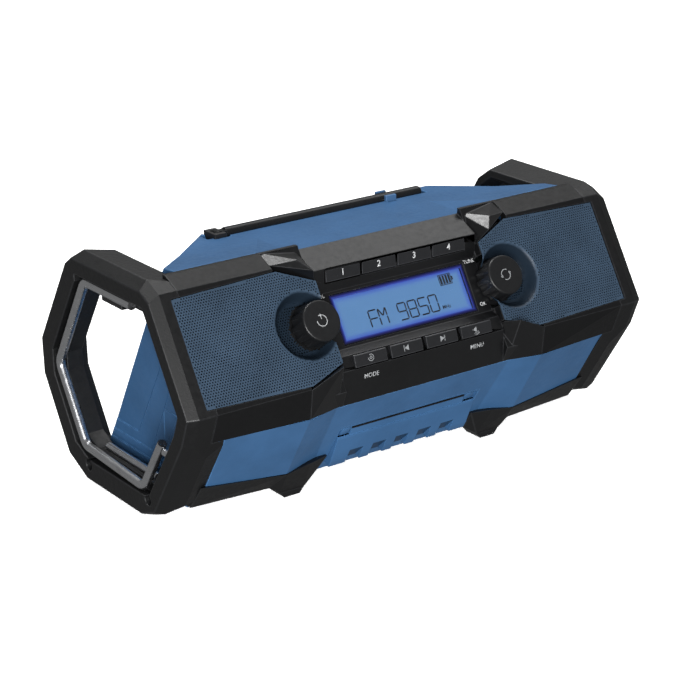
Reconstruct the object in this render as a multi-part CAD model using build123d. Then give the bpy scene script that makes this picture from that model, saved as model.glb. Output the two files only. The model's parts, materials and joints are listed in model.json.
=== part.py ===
from build123d import *
import math
import os

# Jobsite radio. Millimetres, +Z up, front towards -Y, origin at the bottom centre.
# "v" runs up the leaning front panel, "w" runs out of it, zero on the grille frame's face.

# ---- overall form ----
LENGTH = 350.0            # outer face to outer face of the bumper rings
TOP_Z = 157.0             # flat top of the rings
RING_BOTTOM_Z = 6.5
WALL = 3.0                # housing wall
FIT = 0.3                 # gap between neighbours that are assembled by hand
RUN = 0.05                # radial clearance of a turning fit

# ---- leaning front panel ----
PANEL_LEAN = 31.5         # degrees back from vertical
PANEL_Y = -68.5
PANEL_DROP = 38.4         # middle of the face, below the top
FACE_HALF = 38.0          # half height of the flat face
TOP_FRONT_Y = -36.0       # front edge of the flat top
COVER_FRONT_Y = -33.0     # parting line between frames and top cover
CHIN_Y = -80.4
CHIN_Z = 66.5
FRAME_FOOT = 4.6          # the dark front's depth along the chin's underside
GUARD_PROUD = 5.5         # the lower lip's reach forward beside the console
BASE_FRONT_Y = -44.5
BASE_FRONT_Z = 11.7

# ---- bumper rings ----
RING_DEPTH = 28.0         # the ring's reach in from its outer face
RING_BEVEL_DEPTH = 7.0    # the outer bevel's reach in
SEAM_INSET = 19.0         # parting line of ring and speaker frame
LEDGE_INSET = 18.0
RING_TAPER = 4.2          # fall of the band's outer skin towards the body
HOLE_FLARE = 6.0          # the hole's growth towards the body
RING_CROWN = 2.2          # rise of the lower slant's skin in the band's middle
RING_LIP = 0.6            # and over the blue housing's end
RING_BAND = 15.0          # thickness of the band
RING_FRONT_BAND = 12.0
RING_LEDGE = 21.5         # the hook's ledge reaches this far in
RING_BEVEL = 2.5
RING_TOP_BEVEL = 5.5
REAR_CORNER_Y = 90.5

# ---- housing ----
BODY_INSET = 24.0         # end walls, in from the rings' outer faces
COVER_DIP = 4.0           # recessed middle of the top cover
COVER_THICK = 9.5
COVER_FALL = 0.115        # slope of the cover's raised ends
CUT_RUN = 59.0            # the finger cut's reach in along the top cover
CUT_TOP_Y = 27.0
CUT_LOW_Y = 42.0          # the cut's edge on the end wall, low down
CUT_LOW_Z = 40.0
CUT_FRONT_Y = -24.0       # the cut's edge on the end wall, at the top
HOUSING_BOTTOM_Z = 10.0
HOUSING_SPLIT_Y = -18.0   # front lower housing to rear housing
END_STEPS = (             # steps in the end walls: two points of each edge, (y, z)
    ((-33.3, 65.6), (-12.3, 28.0)),
    ((-25.2, 79.7), (-1.1, 34.0)),
    ((-16.1, 93.5), (15.0, 41.0)),
)

# ---- console ----
LENS_HALF_X = 51.8
TROUGH_MARGIN = 10.7      # display trough, past the lens
GUARD_WIDTH = 27.5        # corner guards, past the trough
LENS_TOP_V = 15.8
LENS_BOTTOM_V = -16.1
LENS_W = -10.5
LENS_THICK = 2.0
KEY_FLOOR_W = -10.0
FLOOR_W = -14.5           # back of the console floor
KEY_GAP = 0.35
KEY_TRAVEL = 1.0
PRESET_GAP = 1.7
PRESET_TOP = (30.3, -1.2)
PRESET_LOW = (23.2, -4.9)
FUNCTION_GAP = 3.3
FUNCTION_TOP = (-24.0, -2.6)
FUNCTION_LOW = (-31.7, -4.6)
STEM_X = 14.0
STEM_V = 4.0
BOARD_W = -24.5           # front of the control board
BOARD_THICK = 1.6
BOARD_EDGE = 5.0          # board's edge, in from the face's edge
BOARD_POST_X = 4.2        # posts, past the window's corners
BOARD_POST_R = 2.8
KEYS = 4

# ---- knobs ----
KNOB_MARGIN = 8.4         # knob's axis, past the trough
KNOB_R = 14.0
KNOB_FACE_R = 12.4
KNOB_FACE_W = 4.5
KNOB_BASE_W = -9.0
KNOB_FLUTES = 12
KNOB_TRAVEL = 0.8
SHAFT_R = 3.0
DISH_SHIFT = 7.6          # dish's axis, past the knob's
DISH_R = 21.7
DISH_FLOOR_W = -10.2

# ---- grilles and speakers ----
GRILLE_INSET = 14.0
GRILLE_OUT_V = 33.5
GRILLE_IN_V = 36.0
GRILLE_W = -1.0
GRILLE_THICK = 1.2
SPEAKER_MARGIN = 1.8      # speaker's flange to the dish
SPEAKER_DEPTH = 30.0
SPEAKER_SEAT_W = -6.0

# ---- base ----
FOOT_IN_X = 72.5
FOOT_OUT_X = 83.9
FOOT_ROOT_IN_X = 60.6
FOOT_ROOT_OUT_X = 95.3
FOOT_FRONT_Y = -46.5
FOOT_LENGTH = 15.0
FOOT_PAD = 4.0            # rubber thickness below the plastic root
REAR_FOOT_Y = 28.0

# ---- accessory hatch ----
HATCH_TOP_X = 44.5
HATCH_X = 54.0
HATCH_TOP = 5.4           # up the lower slant from its middle
HATCH_BOTTOM = -27.0
HATCH_PROUD = 4.2
HATCH_SWING = 0.9         # gap above the hatch for its root to turn in
BAY_X = 40.0
BAY_TOP = 0.0
BAY_BOTTOM = -21.0
BAY_DEPTH = 18.0
BAY_SHELL = 2.0           # wall of the bay's tub
SCALLOPS = 5
SCALLOP_PITCH = 18.0
SCALLOP_HALF = 5.3
SCALLOP_RISE = 11.5
HINGE_R = 1.5
KNUCKLE_R = 3.0
SOCKET_V = -13.5
SOCKET_PROUD = 6.0        # in front of the bay's floor
SOCKET_REAR = 4.0         # behind the bay's floor
SOCKET_BACK = 1.5         # closed end of each socket
AUX_X = -24.0
AUX_R = 3.4
AUX_BORE_R = 1.8
USB_X = 0.0
USB_HALF_X = 7.2
USB_HALF_V = 3.6
USB_SHELL = 0.6
INLET_X = 24.0
INLET_R = 5.4
INLET_BORE_R = 2.8

# ---- battery ----
PACK_X = 38.0
PACK_FRONT_Y = -34.0
PACK_REAR_Y = 64.0
PACK_BOTTOM_Z = 22.0
PACK_TOP_Z = 68.0
BAY_WALL = 2.5
BAY_HEADROOM = 3.0
PACK_TOWER = 12.0         # neck and flange above the pack's case
RAIL_THICK = 4.0
RAIL_GAP = 0.5
TERMINAL_SPOTS = (-18.0, 0.0, 18.0)
AMP_HALF_X = 55.0
AMP_Y = (-26.0, 44.0)
SPACER_IN = 21.0          # stand-offs, in from the board's ends
SPACER_EDGE = 6.0         # and from its long edges
SPACER_HEIGHT = 4.0
SPACER_R = 3.0

# ---- hook ----
HOOK_R = 3.0
HOOK_INSET = 0.2          # hook's outer side, in from the ring's outer face
HOOK_TOP_SETBACK = 12.0   # hook's upper end, behind the flat top's front edge
HOOK_END_SETBACK = 28.9   # hook's lower end, behind and below the chin's corner
HOOK_END_DROP = 5.5
HOOK_BEND_R = 8.0
BRACKET_Y = (-14.0, 10.0)
KEEPER_R = 2.3
TIE_ROD_R = 2.5

# ---- antenna ----
ANTENNA_Y = 24.0
ANTENNA_R = 4.0
ANTENNA_ROOT_GAP = 10.0   # pivot to the finger cut
ANTENNA_TIP_GAP = 16.0
ANTENNA_CLIP_GAP = 28.0   # clip to the tip
FORK_REACH = 5.8          # fork's closed end, past the pivot

FAR = 2 * LENGTH
PANEL_Z = TOP_Z - PANEL_DROP
COVER_Z = TOP_Z - COVER_DIP
COVER_BASE_Z = TOP_Z - COVER_THICK
RING_IN_X = LENGTH / 2 - RING_DEPTH
RING_SHOULDER_X = LENGTH / 2 - RING_BEVEL_DEPTH
RING_SEAM_X = LENGTH / 2 - SEAM_INSET
LEDGE_IN_X = LENGTH / 2 - LEDGE_INSET
BODY_X = LENGTH / 2 - BODY_INSET
COVER_X = RING_IN_X + 0.6
GRILLE_OUT_X = LENGTH / 2 - GRILLE_INSET
TROUGH_X = LENS_HALF_X + TROUGH_MARGIN
CONSOLE_X = TROUGH_X + GUARD_WIDTH
GRILLE_IN_X = CONSOLE_X - 2.0
KNOB_X = TROUGH_X + KNOB_MARGIN
DISH_X = KNOB_X + DISH_SHIFT
PRESET_PITCH = (2 * LENS_HALF_X + 5.2) / KEYS
PRESET_WIDTH = PRESET_PITCH - PRESET_GAP
FUNCTION_PITCH = (2 * LENS_HALF_X + 5.6) / KEYS
FUNCTION_WIDTH = FUNCTION_PITCH - FUNCTION_GAP
SPEAKER_IN_X = DISH_X + DISH_R + SPEAKER_MARGIN
SPEAKER_OUT_X = RING_SEAM_X - 2 * WALL
SPEAKER_X = (SPEAKER_IN_X + SPEAKER_OUT_X) / 2
SPEAKER_R = (SPEAKER_OUT_X - SPEAKER_IN_X) / 2
CUT_TOP_X = BODY_X - CUT_RUN
ANTENNA_PIVOT_X = ANTENNA_ROOT_GAP - CUT_TOP_X
ANTENNA_TIP_X = CUT_TOP_X - ANTENNA_TIP_GAP
ANTENNA_CLIP_X = ANTENNA_TIP_X - ANTENNA_CLIP_GAP
LEAN = math.radians(PANEL_LEAN)
PANEL = Plane(origin=(0, PANEL_Y, PANEL_Z), x_dir=(1, 0, 0), z_dir=(0, -math.cos(LEAN), math.sin(LEAN)))
CHIN_DY = BASE_FRONT_Y - CHIN_Y
CHIN_DZ = CHIN_Z - BASE_FRONT_Z
CHIN_LENGTH = math.hypot(CHIN_DY, CHIN_DZ)
CHIN = Plane(
    origin=(0, (CHIN_Y + BASE_FRONT_Y) / 2, (CHIN_Z + BASE_FRONT_Z) / 2),
    x_dir=(1, 0, 0),
    z_dir=(0, -CHIN_DZ, -CHIN_DY),
)
CHIN_HALF = CHIN_LENGTH / 2
ANTENNA_Z = COVER_Z
HOOK_X = LENGTH / 2 - HOOK_R - HOOK_INSET
HOOK_TOP_FRONT_Y = TOP_FRONT_Y + HOOK_TOP_SETBACK
HOOK_END_Y = CHIN_Y + HOOK_END_SETBACK
HOOK_END_Z = CHIN_Z - HOOK_END_DROP
LEDGE_OUT_X = HOOK_X - HOOK_R - FIT
HOOK_TOP_Z = TOP_Z - RING_BAND - HOOK_R - FIT
RING_SCREWS = ((36.0, 18.0), (-36.0, 20.0))
SCREW_R = 1.9
SCREW_HEAD_R = 3.4
REAR_SCREW_X = 55.0


# ---- drawing helpers ----
def panel_point(v, w):
    """World (y, z) of a place on the leaning panel."""
    point = PANEL.from_local_coords(Vector(0, v, w))
    return (point.Y, point.Z)


def to_panel(y, z):
    """Panel (v, w) of a world place."""
    point = PANEL.to_local_coords(Vector(0, y, z))
    return (point.Y, point.Z)


def prism(points, x0, x1):
    """A (y, z) outline extruded along X."""
    face = Face(Wire.make_polygon([Vector(x0, y, z) for y, z in points], close=True))
    return Solid.extrude(face, Vector(x1 - x0, 0, 0))


def slab(plane, points, w0, w1):
    """An outline drawn on a plane, extruded between two heights along its normal."""
    corners = [plane.from_local_coords(Vector(x, v, w0)) for x, v in points]
    face = Face(Wire.make_polygon(corners, close=True))
    return Solid.extrude(face, plane.z_dir * (w1 - w0))


def profile(plane, points, x0, x1):
    """A (v, w) section of a plane's frame, extruded along X."""
    world = [plane.from_local_coords(Vector(0, v, w)) for v, w in points]
    return prism([(p.Y, p.Z) for p in world], x0, x1)


def block(x, y, z, plane=Plane.XY):
    """A box between three pairs of limits, in a plane's own frame."""
    size = (x[1] - x[0], y[1] - y[0], z[1] - z[0])
    middle = ((x[0] + x[1]) / 2, (y[0] + y[1]) / 2, (z[0] + z[1]) / 2)
    return plane.location * Pos(*middle) * Box(*size)


def rod(plane, x, y, z0, z1, radius, top_radius=None):
    """A cylinder or cone along a plane's normal."""
    middle = Pos(x, y, (z0 + z1) / 2)
    if top_radius is None:
        return plane.location * middle * Cylinder(radius, z1 - z0)
    return plane.location * middle * Cone(radius, top_radius, z1 - z0)


def inset(points, distances):
    """An outline with each edge moved inwards by its own distance."""
    count = len(points)
    middle_y = sum(p[0] for p in points) / count
    middle_z = sum(p[1] for p in points) / count
    lines = []
    for i in range(count):
        (y0, z0), (y1, z1) = points[i], points[(i + 1) % count]
        length = math.hypot(y1 - y0, z1 - z0)
        ny, nz = (z1 - z0) / length, -(y1 - y0) / length
        if ny * (middle_y - y0) + nz * (middle_z - z0) < 0:
            ny, nz = -ny, -nz
        lines.append((ny, nz, ny * y0 + nz * z0 + distances[i]))
    result = []
    for i in range(count):
        a, b, c = lines[i - 1]
        d, e, f = lines[i]
        det = a * e - b * d
        result.append(((c * e - b * f) / det, (a * f - c * d) / det))
    return result


def hull(points):
    """The convex solid through a handful of points."""
    corners = [Vector(*p) for p in points]
    centre = sum(corners, Vector(0, 0, 0)) / len(corners)
    planes = []
    count = len(corners)
    for i in range(count):
        for j in range(i + 1, count):
            for k in range(j + 1, count):
                normal = (corners[j] - corners[i]).cross(corners[k] - corners[i])
                if normal.length < 1e-6:
                    continue
                normal = normal.normalized()
                if normal.dot(corners[i] - centre) < 0:
                    normal = -normal
                offset = normal.dot(corners[i])
                if any(normal.dot(c) - offset > 1e-4 for c in corners):
                    continue
                if any((normal - n).length < 1e-4 and abs(offset - o) < 1e-3 for n, o in planes):
                    continue
                planes.append((normal, offset))
    faces = []
    for normal, offset in planes:
        ring = [c for c in corners if abs(normal.dot(c) - offset) < 1e-3]
        middle = sum(ring, Vector(0, 0, 0)) / len(ring)
        across = (ring[0] - middle).normalized()
        up = normal.cross(across)
        ring.sort(key=lambda c: math.atan2(up.dot(c - middle), across.dot(c - middle)))
        faces.append(Face(Wire.make_polygon(ring, close=True)))
    return Solid(Shell(faces))


def on_panel(x, v, w):
    point = PANEL.from_local_coords(Vector(x, v, w))
    return (point.X, point.Y, point.Z)


def mirrored(shape):
    return mirror(shape, about=Plane.YZ)


# ---- shared outlines ----
def ring_outline():
    return [
        (TOP_FRONT_Y, TOP_Z),
        panel_point(FACE_HALF, 0),
        panel_point(-FACE_HALF, 0),
        (CHIN_Y, CHIN_Z),
        (BASE_FRONT_Y, BASE_FRONT_Z),
        (BASE_FRONT_Y + 13.5, RING_BOTTOM_Z),
        (REAR_CORNER_Y - 51.0, RING_BOTTOM_Z),
        (REAR_CORNER_Y - 28.0, RING_BOTTOM_Z + 10.5),
        (REAR_CORNER_Y - 0.5, CHIN_Z - 3.0),
        (REAR_CORNER_Y, CHIN_Z + 21.3),
        (REAR_CORNER_Y - 38.0, TOP_Z - 9.8),
        (REAR_CORNER_Y - 52.0, TOP_Z),
    ]


def ring_inset(front, rest, top=None):
    """The ring's outline moved in, less at the front than elsewhere."""
    crest, roof = (front, rest) if top is None else ((top + front) / 2, top)
    return inset(ring_outline(), [crest] + [front] * 4 + [rest] * 6 + [roof])


def outline_loop(x, points):
    return Wire.make_polygon([Vector(x, y, z) for y, z in points], close=True)


def frame_section():
    """Section of the dark front: flat top, bevel, leaning face and chin."""
    return [
        (COVER_FRONT_Y, TOP_Z),
        (TOP_FRONT_Y, TOP_Z),
        panel_point(FACE_HALF, 0),
        panel_point(-FACE_HALF, 0),
        (CHIN_Y, CHIN_Z),
        (CHIN_Y + FRAME_FOOT, CHIN_Z),
        (COVER_FRONT_Y, COVER_BASE_Z - 10.0),
    ]


def rear_rim():
    """Rear edge of the dark front's underside, in panel terms."""
    return to_panel(CHIN_Y + FRAME_FOOT, CHIN_Z)


def housing_outline():
    """Section of the blue housing behind the dark front and under the top cover."""
    return [
        (COVER_FRONT_Y, COVER_BASE_Z),
        (COVER_FRONT_Y, COVER_BASE_Z - 10.0),
        (CHIN_Y + FRAME_FOOT, CHIN_Z),
        (CHIN_Y, CHIN_Z),
        (BASE_FRONT_Y, BASE_FRONT_Z),
        (BASE_FRONT_Y + 4.0, HOUSING_BOTTOM_Z),
        (REAR_CORNER_Y - 51.0, HOUSING_BOTTOM_Z),
        (REAR_CORNER_Y - 4.5, CHIN_Z - 3.0),
        (REAR_CORNER_Y - 4.5, CHIN_Z + 19.0),
        (ANTENNA_Y + 8.0, COVER_BASE_Z),
    ]


def finger_cut(shrink):
    """The wedge cut from the left rear corner, for fingers round the ring's rear bar."""
    edge_top = Vector(-BODY_X, CUT_FRONT_Y, TOP_Z)
    edge_low = Vector(-BODY_X, CUT_LOW_Y, CUT_LOW_Z)
    rear_top = Vector(-CUT_TOP_X, CUT_TOP_Y, TOP_Z)
    normal = (rear_top - edge_top).cross(edge_low - edge_top).normalized()
    if normal.Y < 0:
        normal = -normal
    origin = edge_top - normal * shrink
    cutter = Plane(origin=origin, z_dir=normal)
    reach = 2 * LENGTH
    return cutter.location * Pos(0, 0, reach / 2) * Box(reach, reach, reach)


def grille_outline(margin):
    """The left grille's outline on the panel, grown by a margin."""
    outer, inner = GRILLE_OUT_X + margin, TROUGH_X + FIT - margin
    return [
        (-outer, GRILLE_OUT_V + margin),
        (-GRILLE_IN_X, GRILLE_IN_V + margin),
        (-inner, GRILLE_IN_V - 11.0 + margin),
        (-inner, -GRILLE_IN_V + 9.0 - margin),
        (-GRILLE_IN_X, -GRILLE_IN_V - margin),
        (-outer, -GRILLE_OUT_V - margin),
    ]


# ---- bumper rings ----
def body_notch():
    """What the ring leaves free for the speaker frame, grille and housing."""
    frame = prism(frame_section(), -RING_SEAM_X, 0)
    body = prism(housing_outline(), -BODY_X, 0) - finger_cut(0)
    cover = block((-COVER_X, 0), (COVER_FRONT_Y, ANTENNA_Y + 8), (COVER_BASE_Z, TOP_Z + 1)) - finger_cut(0)
    grille = slab(PANEL, grille_outline(FIT), SPEAKER_SEAT_W + 2.0, 2.0)
    return [frame, body, cover, grille, base_bumper_envelope()]


def bumper_ring():
    outline = ring_outline()
    shoulder = outline_loop(-RING_SHOULDER_X, outline)
    rim = outline_loop(-LENGTH / 2, ring_inset(RING_BEVEL, RING_BEVEL - 1.0, RING_TOP_BEVEL))
    root = outline_loop(-RING_IN_X, inset(outline, [0.0] * 3 + [-RING_LIP] + [RING_TAPER] * 8))
    crown = outline_loop(
        -(RING_IN_X + RING_SHOULDER_X) / 2, inset(outline, [0.0] * 3 + [-RING_CROWN] + [RING_TAPER / 2] * 8)
    )
    band = Solid.make_loft([root, crown, shoulder], ruled=True)
    bevel = Solid.make_loft([shoulder, rim], ruled=True)
    inner = ring_inset(RING_FRONT_BAND, RING_BAND)
    wide = inset(outline, [RING_FRONT_BAND] * 5 + [RING_BAND] + [RING_BAND - HOLE_FLARE] * 6)
    flare = Solid.make_loft([outline_loop(-LEDGE_IN_X, inner), outline_loop(-RING_IN_X, wide)], ruled=True)
    ring = band + bevel - prism(inner, -LENGTH, 0) - flare
    ledge_hole = ring_inset(RING_FRONT_BAND, RING_LEDGE)
    ledge = prism(inner, -LEDGE_OUT_X, -LEDGE_IN_X) - prism(ledge_hole, -LENGTH, 0)
    ring = ring + ledge
    for notch in body_notch() + ring_screw_holes():
        ring = ring - notch
    return biggest(ring)


def biggest(shape):
    """The largest solid of a shape that a cut left in pieces."""
    solids = shape.solids()
    return max(solids, key=lambda s: s.volume)


# ---- hook, its bracket, keeper and tie rod ----
def middle_of(points, i, j):
    return ((points[i][0] + points[j][0]) / 2, (points[i][1] + points[j][1]) / 2)


def hook_route():
    """The hook's bends, parallel to the band's inner edge."""
    line = ring_inset(RING_FRONT_BAND, RING_BAND + HOOK_R + FIT)
    low = line[6][1]
    return [
        (HOOK_TOP_FRONT_Y, HOOK_TOP_Z),
        (line[11][0], HOOK_TOP_Z),
        middle_of(line, 8, 9),
        middle_of(line, 6, 7),
        (BASE_FRONT_Y + 17.0, low),
        (HOOK_END_Y, HOOK_END_Z),
    ]


def hanging_hook():
    points = [Vector(-HOOK_X, y, z) for y, z in hook_route()]
    path = FilletPolyline(*points, radius=HOOK_BEND_R)
    start = Plane(origin=points[0], z_dir=points[1] - points[0])
    return sweep(start * Circle(HOOK_R), path=path)


def bracket_space(outer_x):
    low = HOOK_TOP_Z - HOOK_R - 2.5
    return block((-outer_x, -LEDGE_IN_X - 3.0), BRACKET_Y, (low, TOP_Z - RING_BAND))


def hook_bracket():
    """Saddle under the top bar: an open C that the hook's top run turns in."""
    bore = Plane.XZ.location * Pos(-HOOK_X, HOOK_TOP_Z, 0) * Cylinder(HOOK_R + RUN, LENGTH)
    return bracket_space(HOOK_X + HOOK_R * 0.47) - bore


def along_y(x, z, y0, y1, radius):
    return Plane.XZ.location * Pos(x, z, -(y0 + y1) / 2) * Cylinder(radius, y1 - y0)


def hook_swing_relief():
    """Slot in the ring for the hook's upper rear bend as it swings outwards."""
    corner_y = hook_route()[1][0]
    reach = (corner_y - 2 * HOOK_BEND_R, corner_y + HOOK_BEND_R)
    room = HOOK_R + FIT
    side = block((-LENGTH, -HOOK_X), reach, (HOOK_TOP_Z - room, HOOK_TOP_Z + room))
    return along_y(-HOOK_X, HOOK_TOP_Z, *reach, room) + side


def lower_tie_rod(extra=0.0):
    """Steel rod let into the ledge of the bottom bar."""
    z = RING_BOTTOM_Z + RING_LEDGE + TIE_ROD_R * 0.5
    x = -(LEDGE_IN_X + LEDGE_OUT_X) / 2
    return along_y(x, z, -29.0 - extra, 31.0 + extra, TIE_ROD_R + extra)


def keeper_pin(extra=0.0):
    """Pin out of the front bar that the hook's end rests against."""
    return along_y(-HOOK_X, HOOK_END_Z - 5.0, HOOK_END_Y - 14.5, HOOK_END_Y - 1.9, KEEPER_R + extra)


def ring_screws():
    """Screws through the rings into the housing's end walls."""
    screws = []
    for side in (-1, 1):
        for y, z in RING_SCREWS:
            head = Plane.YZ.location * Pos(y, z, side * (RING_SHOULDER_X - 4.0)) * Cylinder(SCREW_HEAD_R, 3.0)
            shank = Plane.YZ.location * Pos(y, z, side * (RING_SHOULDER_X - 15.0)) * Cylinder(SCREW_R, 22.0)
            screws.append(head + shank)
    return Compound(children=screws)


def ring_screw_holes():
    """Counterbores and clearance holes for the ring screws, both rings."""
    cuts = []
    for side in (-1, 1):
        for y, z in RING_SCREWS:
            deep = Plane.YZ.location * Pos(y, z, side * (RING_SHOULDER_X + 4.5)) * Cylinder(SCREW_HEAD_R + FIT, 20.0)
            through = Plane.YZ.location * Pos(y, z, side * RING_SHOULDER_X) * Cylinder(SCREW_R + 0.1, 80.0)
            cuts.extend([deep, through])
    return cuts


# ---- dark front ----
def speaker_frame():
    section = frame_section()
    shell = prism(section, -RING_SEAM_X, -CONSOLE_X)
    cavity = profile(
        PANEL,
        [(42, -60), (42, SPEAKER_SEAT_W), (-40, SPEAKER_SEAT_W), (-40, -60)],
        -RING_SEAM_X + WALL,
        -CONSOLE_X,
    )
    keep = prism(inset(section, [WALL, WALL, WALL, WALL, WALL, 0.0, 0.0]), -RING_SEAM_X, 0)
    chin_x = (-RING_SEAM_X, -CONSOLE_X)
    lip = hull(
        [(x, CHIN_Y, CHIN_Z) for x in chin_x]
        + [(x, *panel_point(-FACE_HALF, 0)) for x in chin_x]
        + [(-CONSOLE_X, CHIN_Y - GUARD_PROUD, CHIN_Z)]
    )
    frame = shell - (cavity & keep) + lip
    frame = frame - slab(PANEL, grille_outline(FIT), GRILLE_W - GRILLE_THICK, 5.0)
    frame = frame - rod(PANEL, -SPEAKER_X, 0, -30, 5, SPEAKER_R * 11 / 12)
    frame = frame - rod(PANEL, -DISH_X, 0, -30, 5, DISH_R + 1.5)
    return biggest(frame)


def corner_guard(upper):
    """A proud guard beside the display that shields the knobs from knocks."""
    if upper:
        rear = to_panel(COVER_FRONT_Y, TOP_Z)
        rear_in = to_panel(COVER_FRONT_Y, COVER_Z + 0.5)
        rear_low = to_panel(COVER_FRONT_Y, COVER_BASE_Z - 6.0)
        spots = [
            (CONSOLE_X, FACE_HALF + 2.5, -1.8),
            (CONSOLE_X, *rear),
            (TROUGH_X + 1.5, *rear_in),
            (TROUGH_X + 11.5, 39.1, 4.0),
            (TROUGH_X + 4.9, 29.9, 7.5),
            (TROUGH_X, 24.9, -2.9),
            (CONSOLE_X, FACE_HALF, -12.0),
            (TROUGH_X, 24.9, -12.0),
            (TROUGH_X, *rear_low),
            (CONSOLE_X, *rear_low),
        ]
    else:
        chin = to_panel(CHIN_Y, CHIN_Z)
        spots = [
            (GRILLE_IN_X, -38.8, -0.1),
            (TROUGH_X + 12.5, -36.3, 1.1),
            (TROUGH_X + 5.9, -30.7, 6.8),
            (TROUGH_X, -27.6, -2.7),
            (CONSOLE_X, *to_panel(CHIN_Y - GUARD_PROUD, CHIN_Z)),
            (CONSOLE_X, -FACE_HALF, 0.0),
            (TROUGH_X + 3.5, *chin),
            (GRILLE_IN_X, *to_panel(CHIN_Y + 10, CHIN_Z)),
            (TROUGH_X, *to_panel(CHIN_Y + 10, CHIN_Z)),
            (GRILLE_IN_X, -38.8, -12.0),
            (TROUGH_X, -27.6, -12.0),
        ]
    return hull([on_panel(-x, v, w) for x, v, w in spots])


def console_section():
    """Section of the trough: hood, key rows, display floor and lower face."""
    hood_back = to_panel(COVER_FRONT_Y, COVER_Z + 0.5)
    chin_edge = to_panel(CHIN_Y, CHIN_Z)
    rear_high = to_panel(COVER_FRONT_Y, COVER_BASE_Z - 10.0)
    return [
        hood_back,
        (PRESET_TOP[0] + 0.5, PRESET_TOP[1] + 0.4),
        (PRESET_LOW[0] - 1.0, PRESET_LOW[1] - 1.6),
        (LENS_TOP_V + 2.0, LENS_W + 0.4),
        (LENS_BOTTOM_V - 2.0, LENS_W + 0.4),
        (FUNCTION_TOP[0] + 1.0, FUNCTION_TOP[1] - 3.4),
        (FUNCTION_LOW[0] - 0.6, FUNCTION_LOW[1] - 0.8),
        chin_edge,
        rear_rim(),
        rear_high,
    ]


def key_pockets():
    """Pockets and stem holes for the eight keys."""
    cuts = []
    rows = (
        (PRESET_WIDTH, PRESET_PITCH, PRESET_TOP[0], PRESET_LOW[0]),
        (FUNCTION_WIDTH, FUNCTION_PITCH, FUNCTION_TOP[0], FUNCTION_LOW[0]),
    )
    for width, pitch, top, low in rows:
        for i in range(KEYS):
            x = (i - (KEYS - 1) / 2) * pitch
            half = width / 2 + KEY_GAP
            cuts.append(block((x - half, x + half), (low - KEY_GAP, top + KEY_GAP), (KEY_FLOOR_W, 12), PANEL))
            middle = (top + low) / 2
            stem_x, stem_v = STEM_X / 2 + KEY_GAP, STEM_V / 2 + KEY_GAP
            cuts.append(
                block((x - stem_x, x + stem_x), (middle - stem_v, middle + stem_v), (-40, KEY_FLOOR_W + 1), PANEL)
            )
    return cuts


def console():
    trough = profile(PANEL, console_section(), -TROUGH_X, TROUGH_X)
    section = frame_section()
    wing = prism(section, -CONSOLE_X, -TROUGH_X)
    above = profile(PANEL, [(80, -8), (80, 60), (-80, 60), (-80, -8)], -CONSOLE_X, -TROUGH_X)
    seat = slab(PANEL, grille_outline(0), -9.0, GRILLE_W - GRILLE_THICK) & block(
        (-CONSOLE_X, -TROUGH_X), (-90, 90), (-60, 60), PANEL
    )
    wing = (wing - above) + seat + corner_guard(True) + corner_guard(False)
    wing = wing - slab(PANEL, grille_outline(FIT), GRILLE_W - GRILLE_THICK, 0.2)
    body = trough + wing + mirrored(wing)
    cavity = block((-TROUGH_X + WALL, TROUGH_X - WALL), (-42, 38), (-60, FLOOR_W), PANEL)
    wide = block((-CONSOLE_X, CONSOLE_X), (-37, 36), (-60, SPEAKER_SEAT_W - 6.5), PANEL)
    keep = prism(inset(section, [WALL, WALL, WALL, WALL, WALL, 0.0, 0.0]), -LENGTH, LENGTH)
    body = body - (cavity & keep) - (wide & keep & block((-LENGTH, LENGTH), (-90, 90), (-90, FLOOR_W), PANEL))
    for cut in key_pockets():
        body = body - cut
    window = block((-LENS_HALF_X - 0.2, LENS_HALF_X + 0.2), (LENS_BOTTOM_V - 0.2, LENS_TOP_V + 0.2),
                   (LENS_W - LENS_THICK, 5), PANEL)
    view = block((-LENS_HALF_X + 2, LENS_HALF_X - 2), (LENS_BOTTOM_V + 2, LENS_TOP_V - 2), (-40, 5), PANEL)
    body = body - window - view
    for side in (-1, 1):
        beside = block(tuple(sorted((side * TROUGH_X, side * CONSOLE_X))), (-90, 90), (-90, 90), PANEL)
        body = body - (rod(PANEL, side * DISH_X, 0, -60, 5, DISH_R + 1.5) & beside)
        for v in board_post_rows():
            boss = rod(PANEL, side * (LENS_HALF_X + BOARD_POST_X), v, BOARD_W, FLOOR_W + 1, BOARD_POST_R)
            body = body + boss
    return biggest(body)


def key(row, index):
    if row == "preset":
        width, pitch, top, low = PRESET_WIDTH, PRESET_PITCH, PRESET_TOP, PRESET_LOW
    else:
        width, pitch, top, low = FUNCTION_WIDTH, FUNCTION_PITCH, FUNCTION_TOP, FUNCTION_LOW
    x = (index - (KEYS - 1) / 2) * pitch
    base = KEY_FLOOR_W + KEY_TRAVEL + KEY_GAP
    cap = profile(PANEL, [top, low, (low[0], base), (top[0], base)], x - width / 2, x + width / 2)
    cap = chamfer(cap.edges().filter_by(Axis.X).sort_by(Axis.Z)[-2:], 0.6)
    middle = (top[0] + low[0]) / 2
    stem = block(
        (x - STEM_X / 2, x + STEM_X / 2),
        (middle - STEM_V / 2, middle + STEM_V / 2),
        (BOARD_W + 3.0 + KEY_TRAVEL + KEY_GAP, base),
        PANEL,
    )
    return cap + stem


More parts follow.
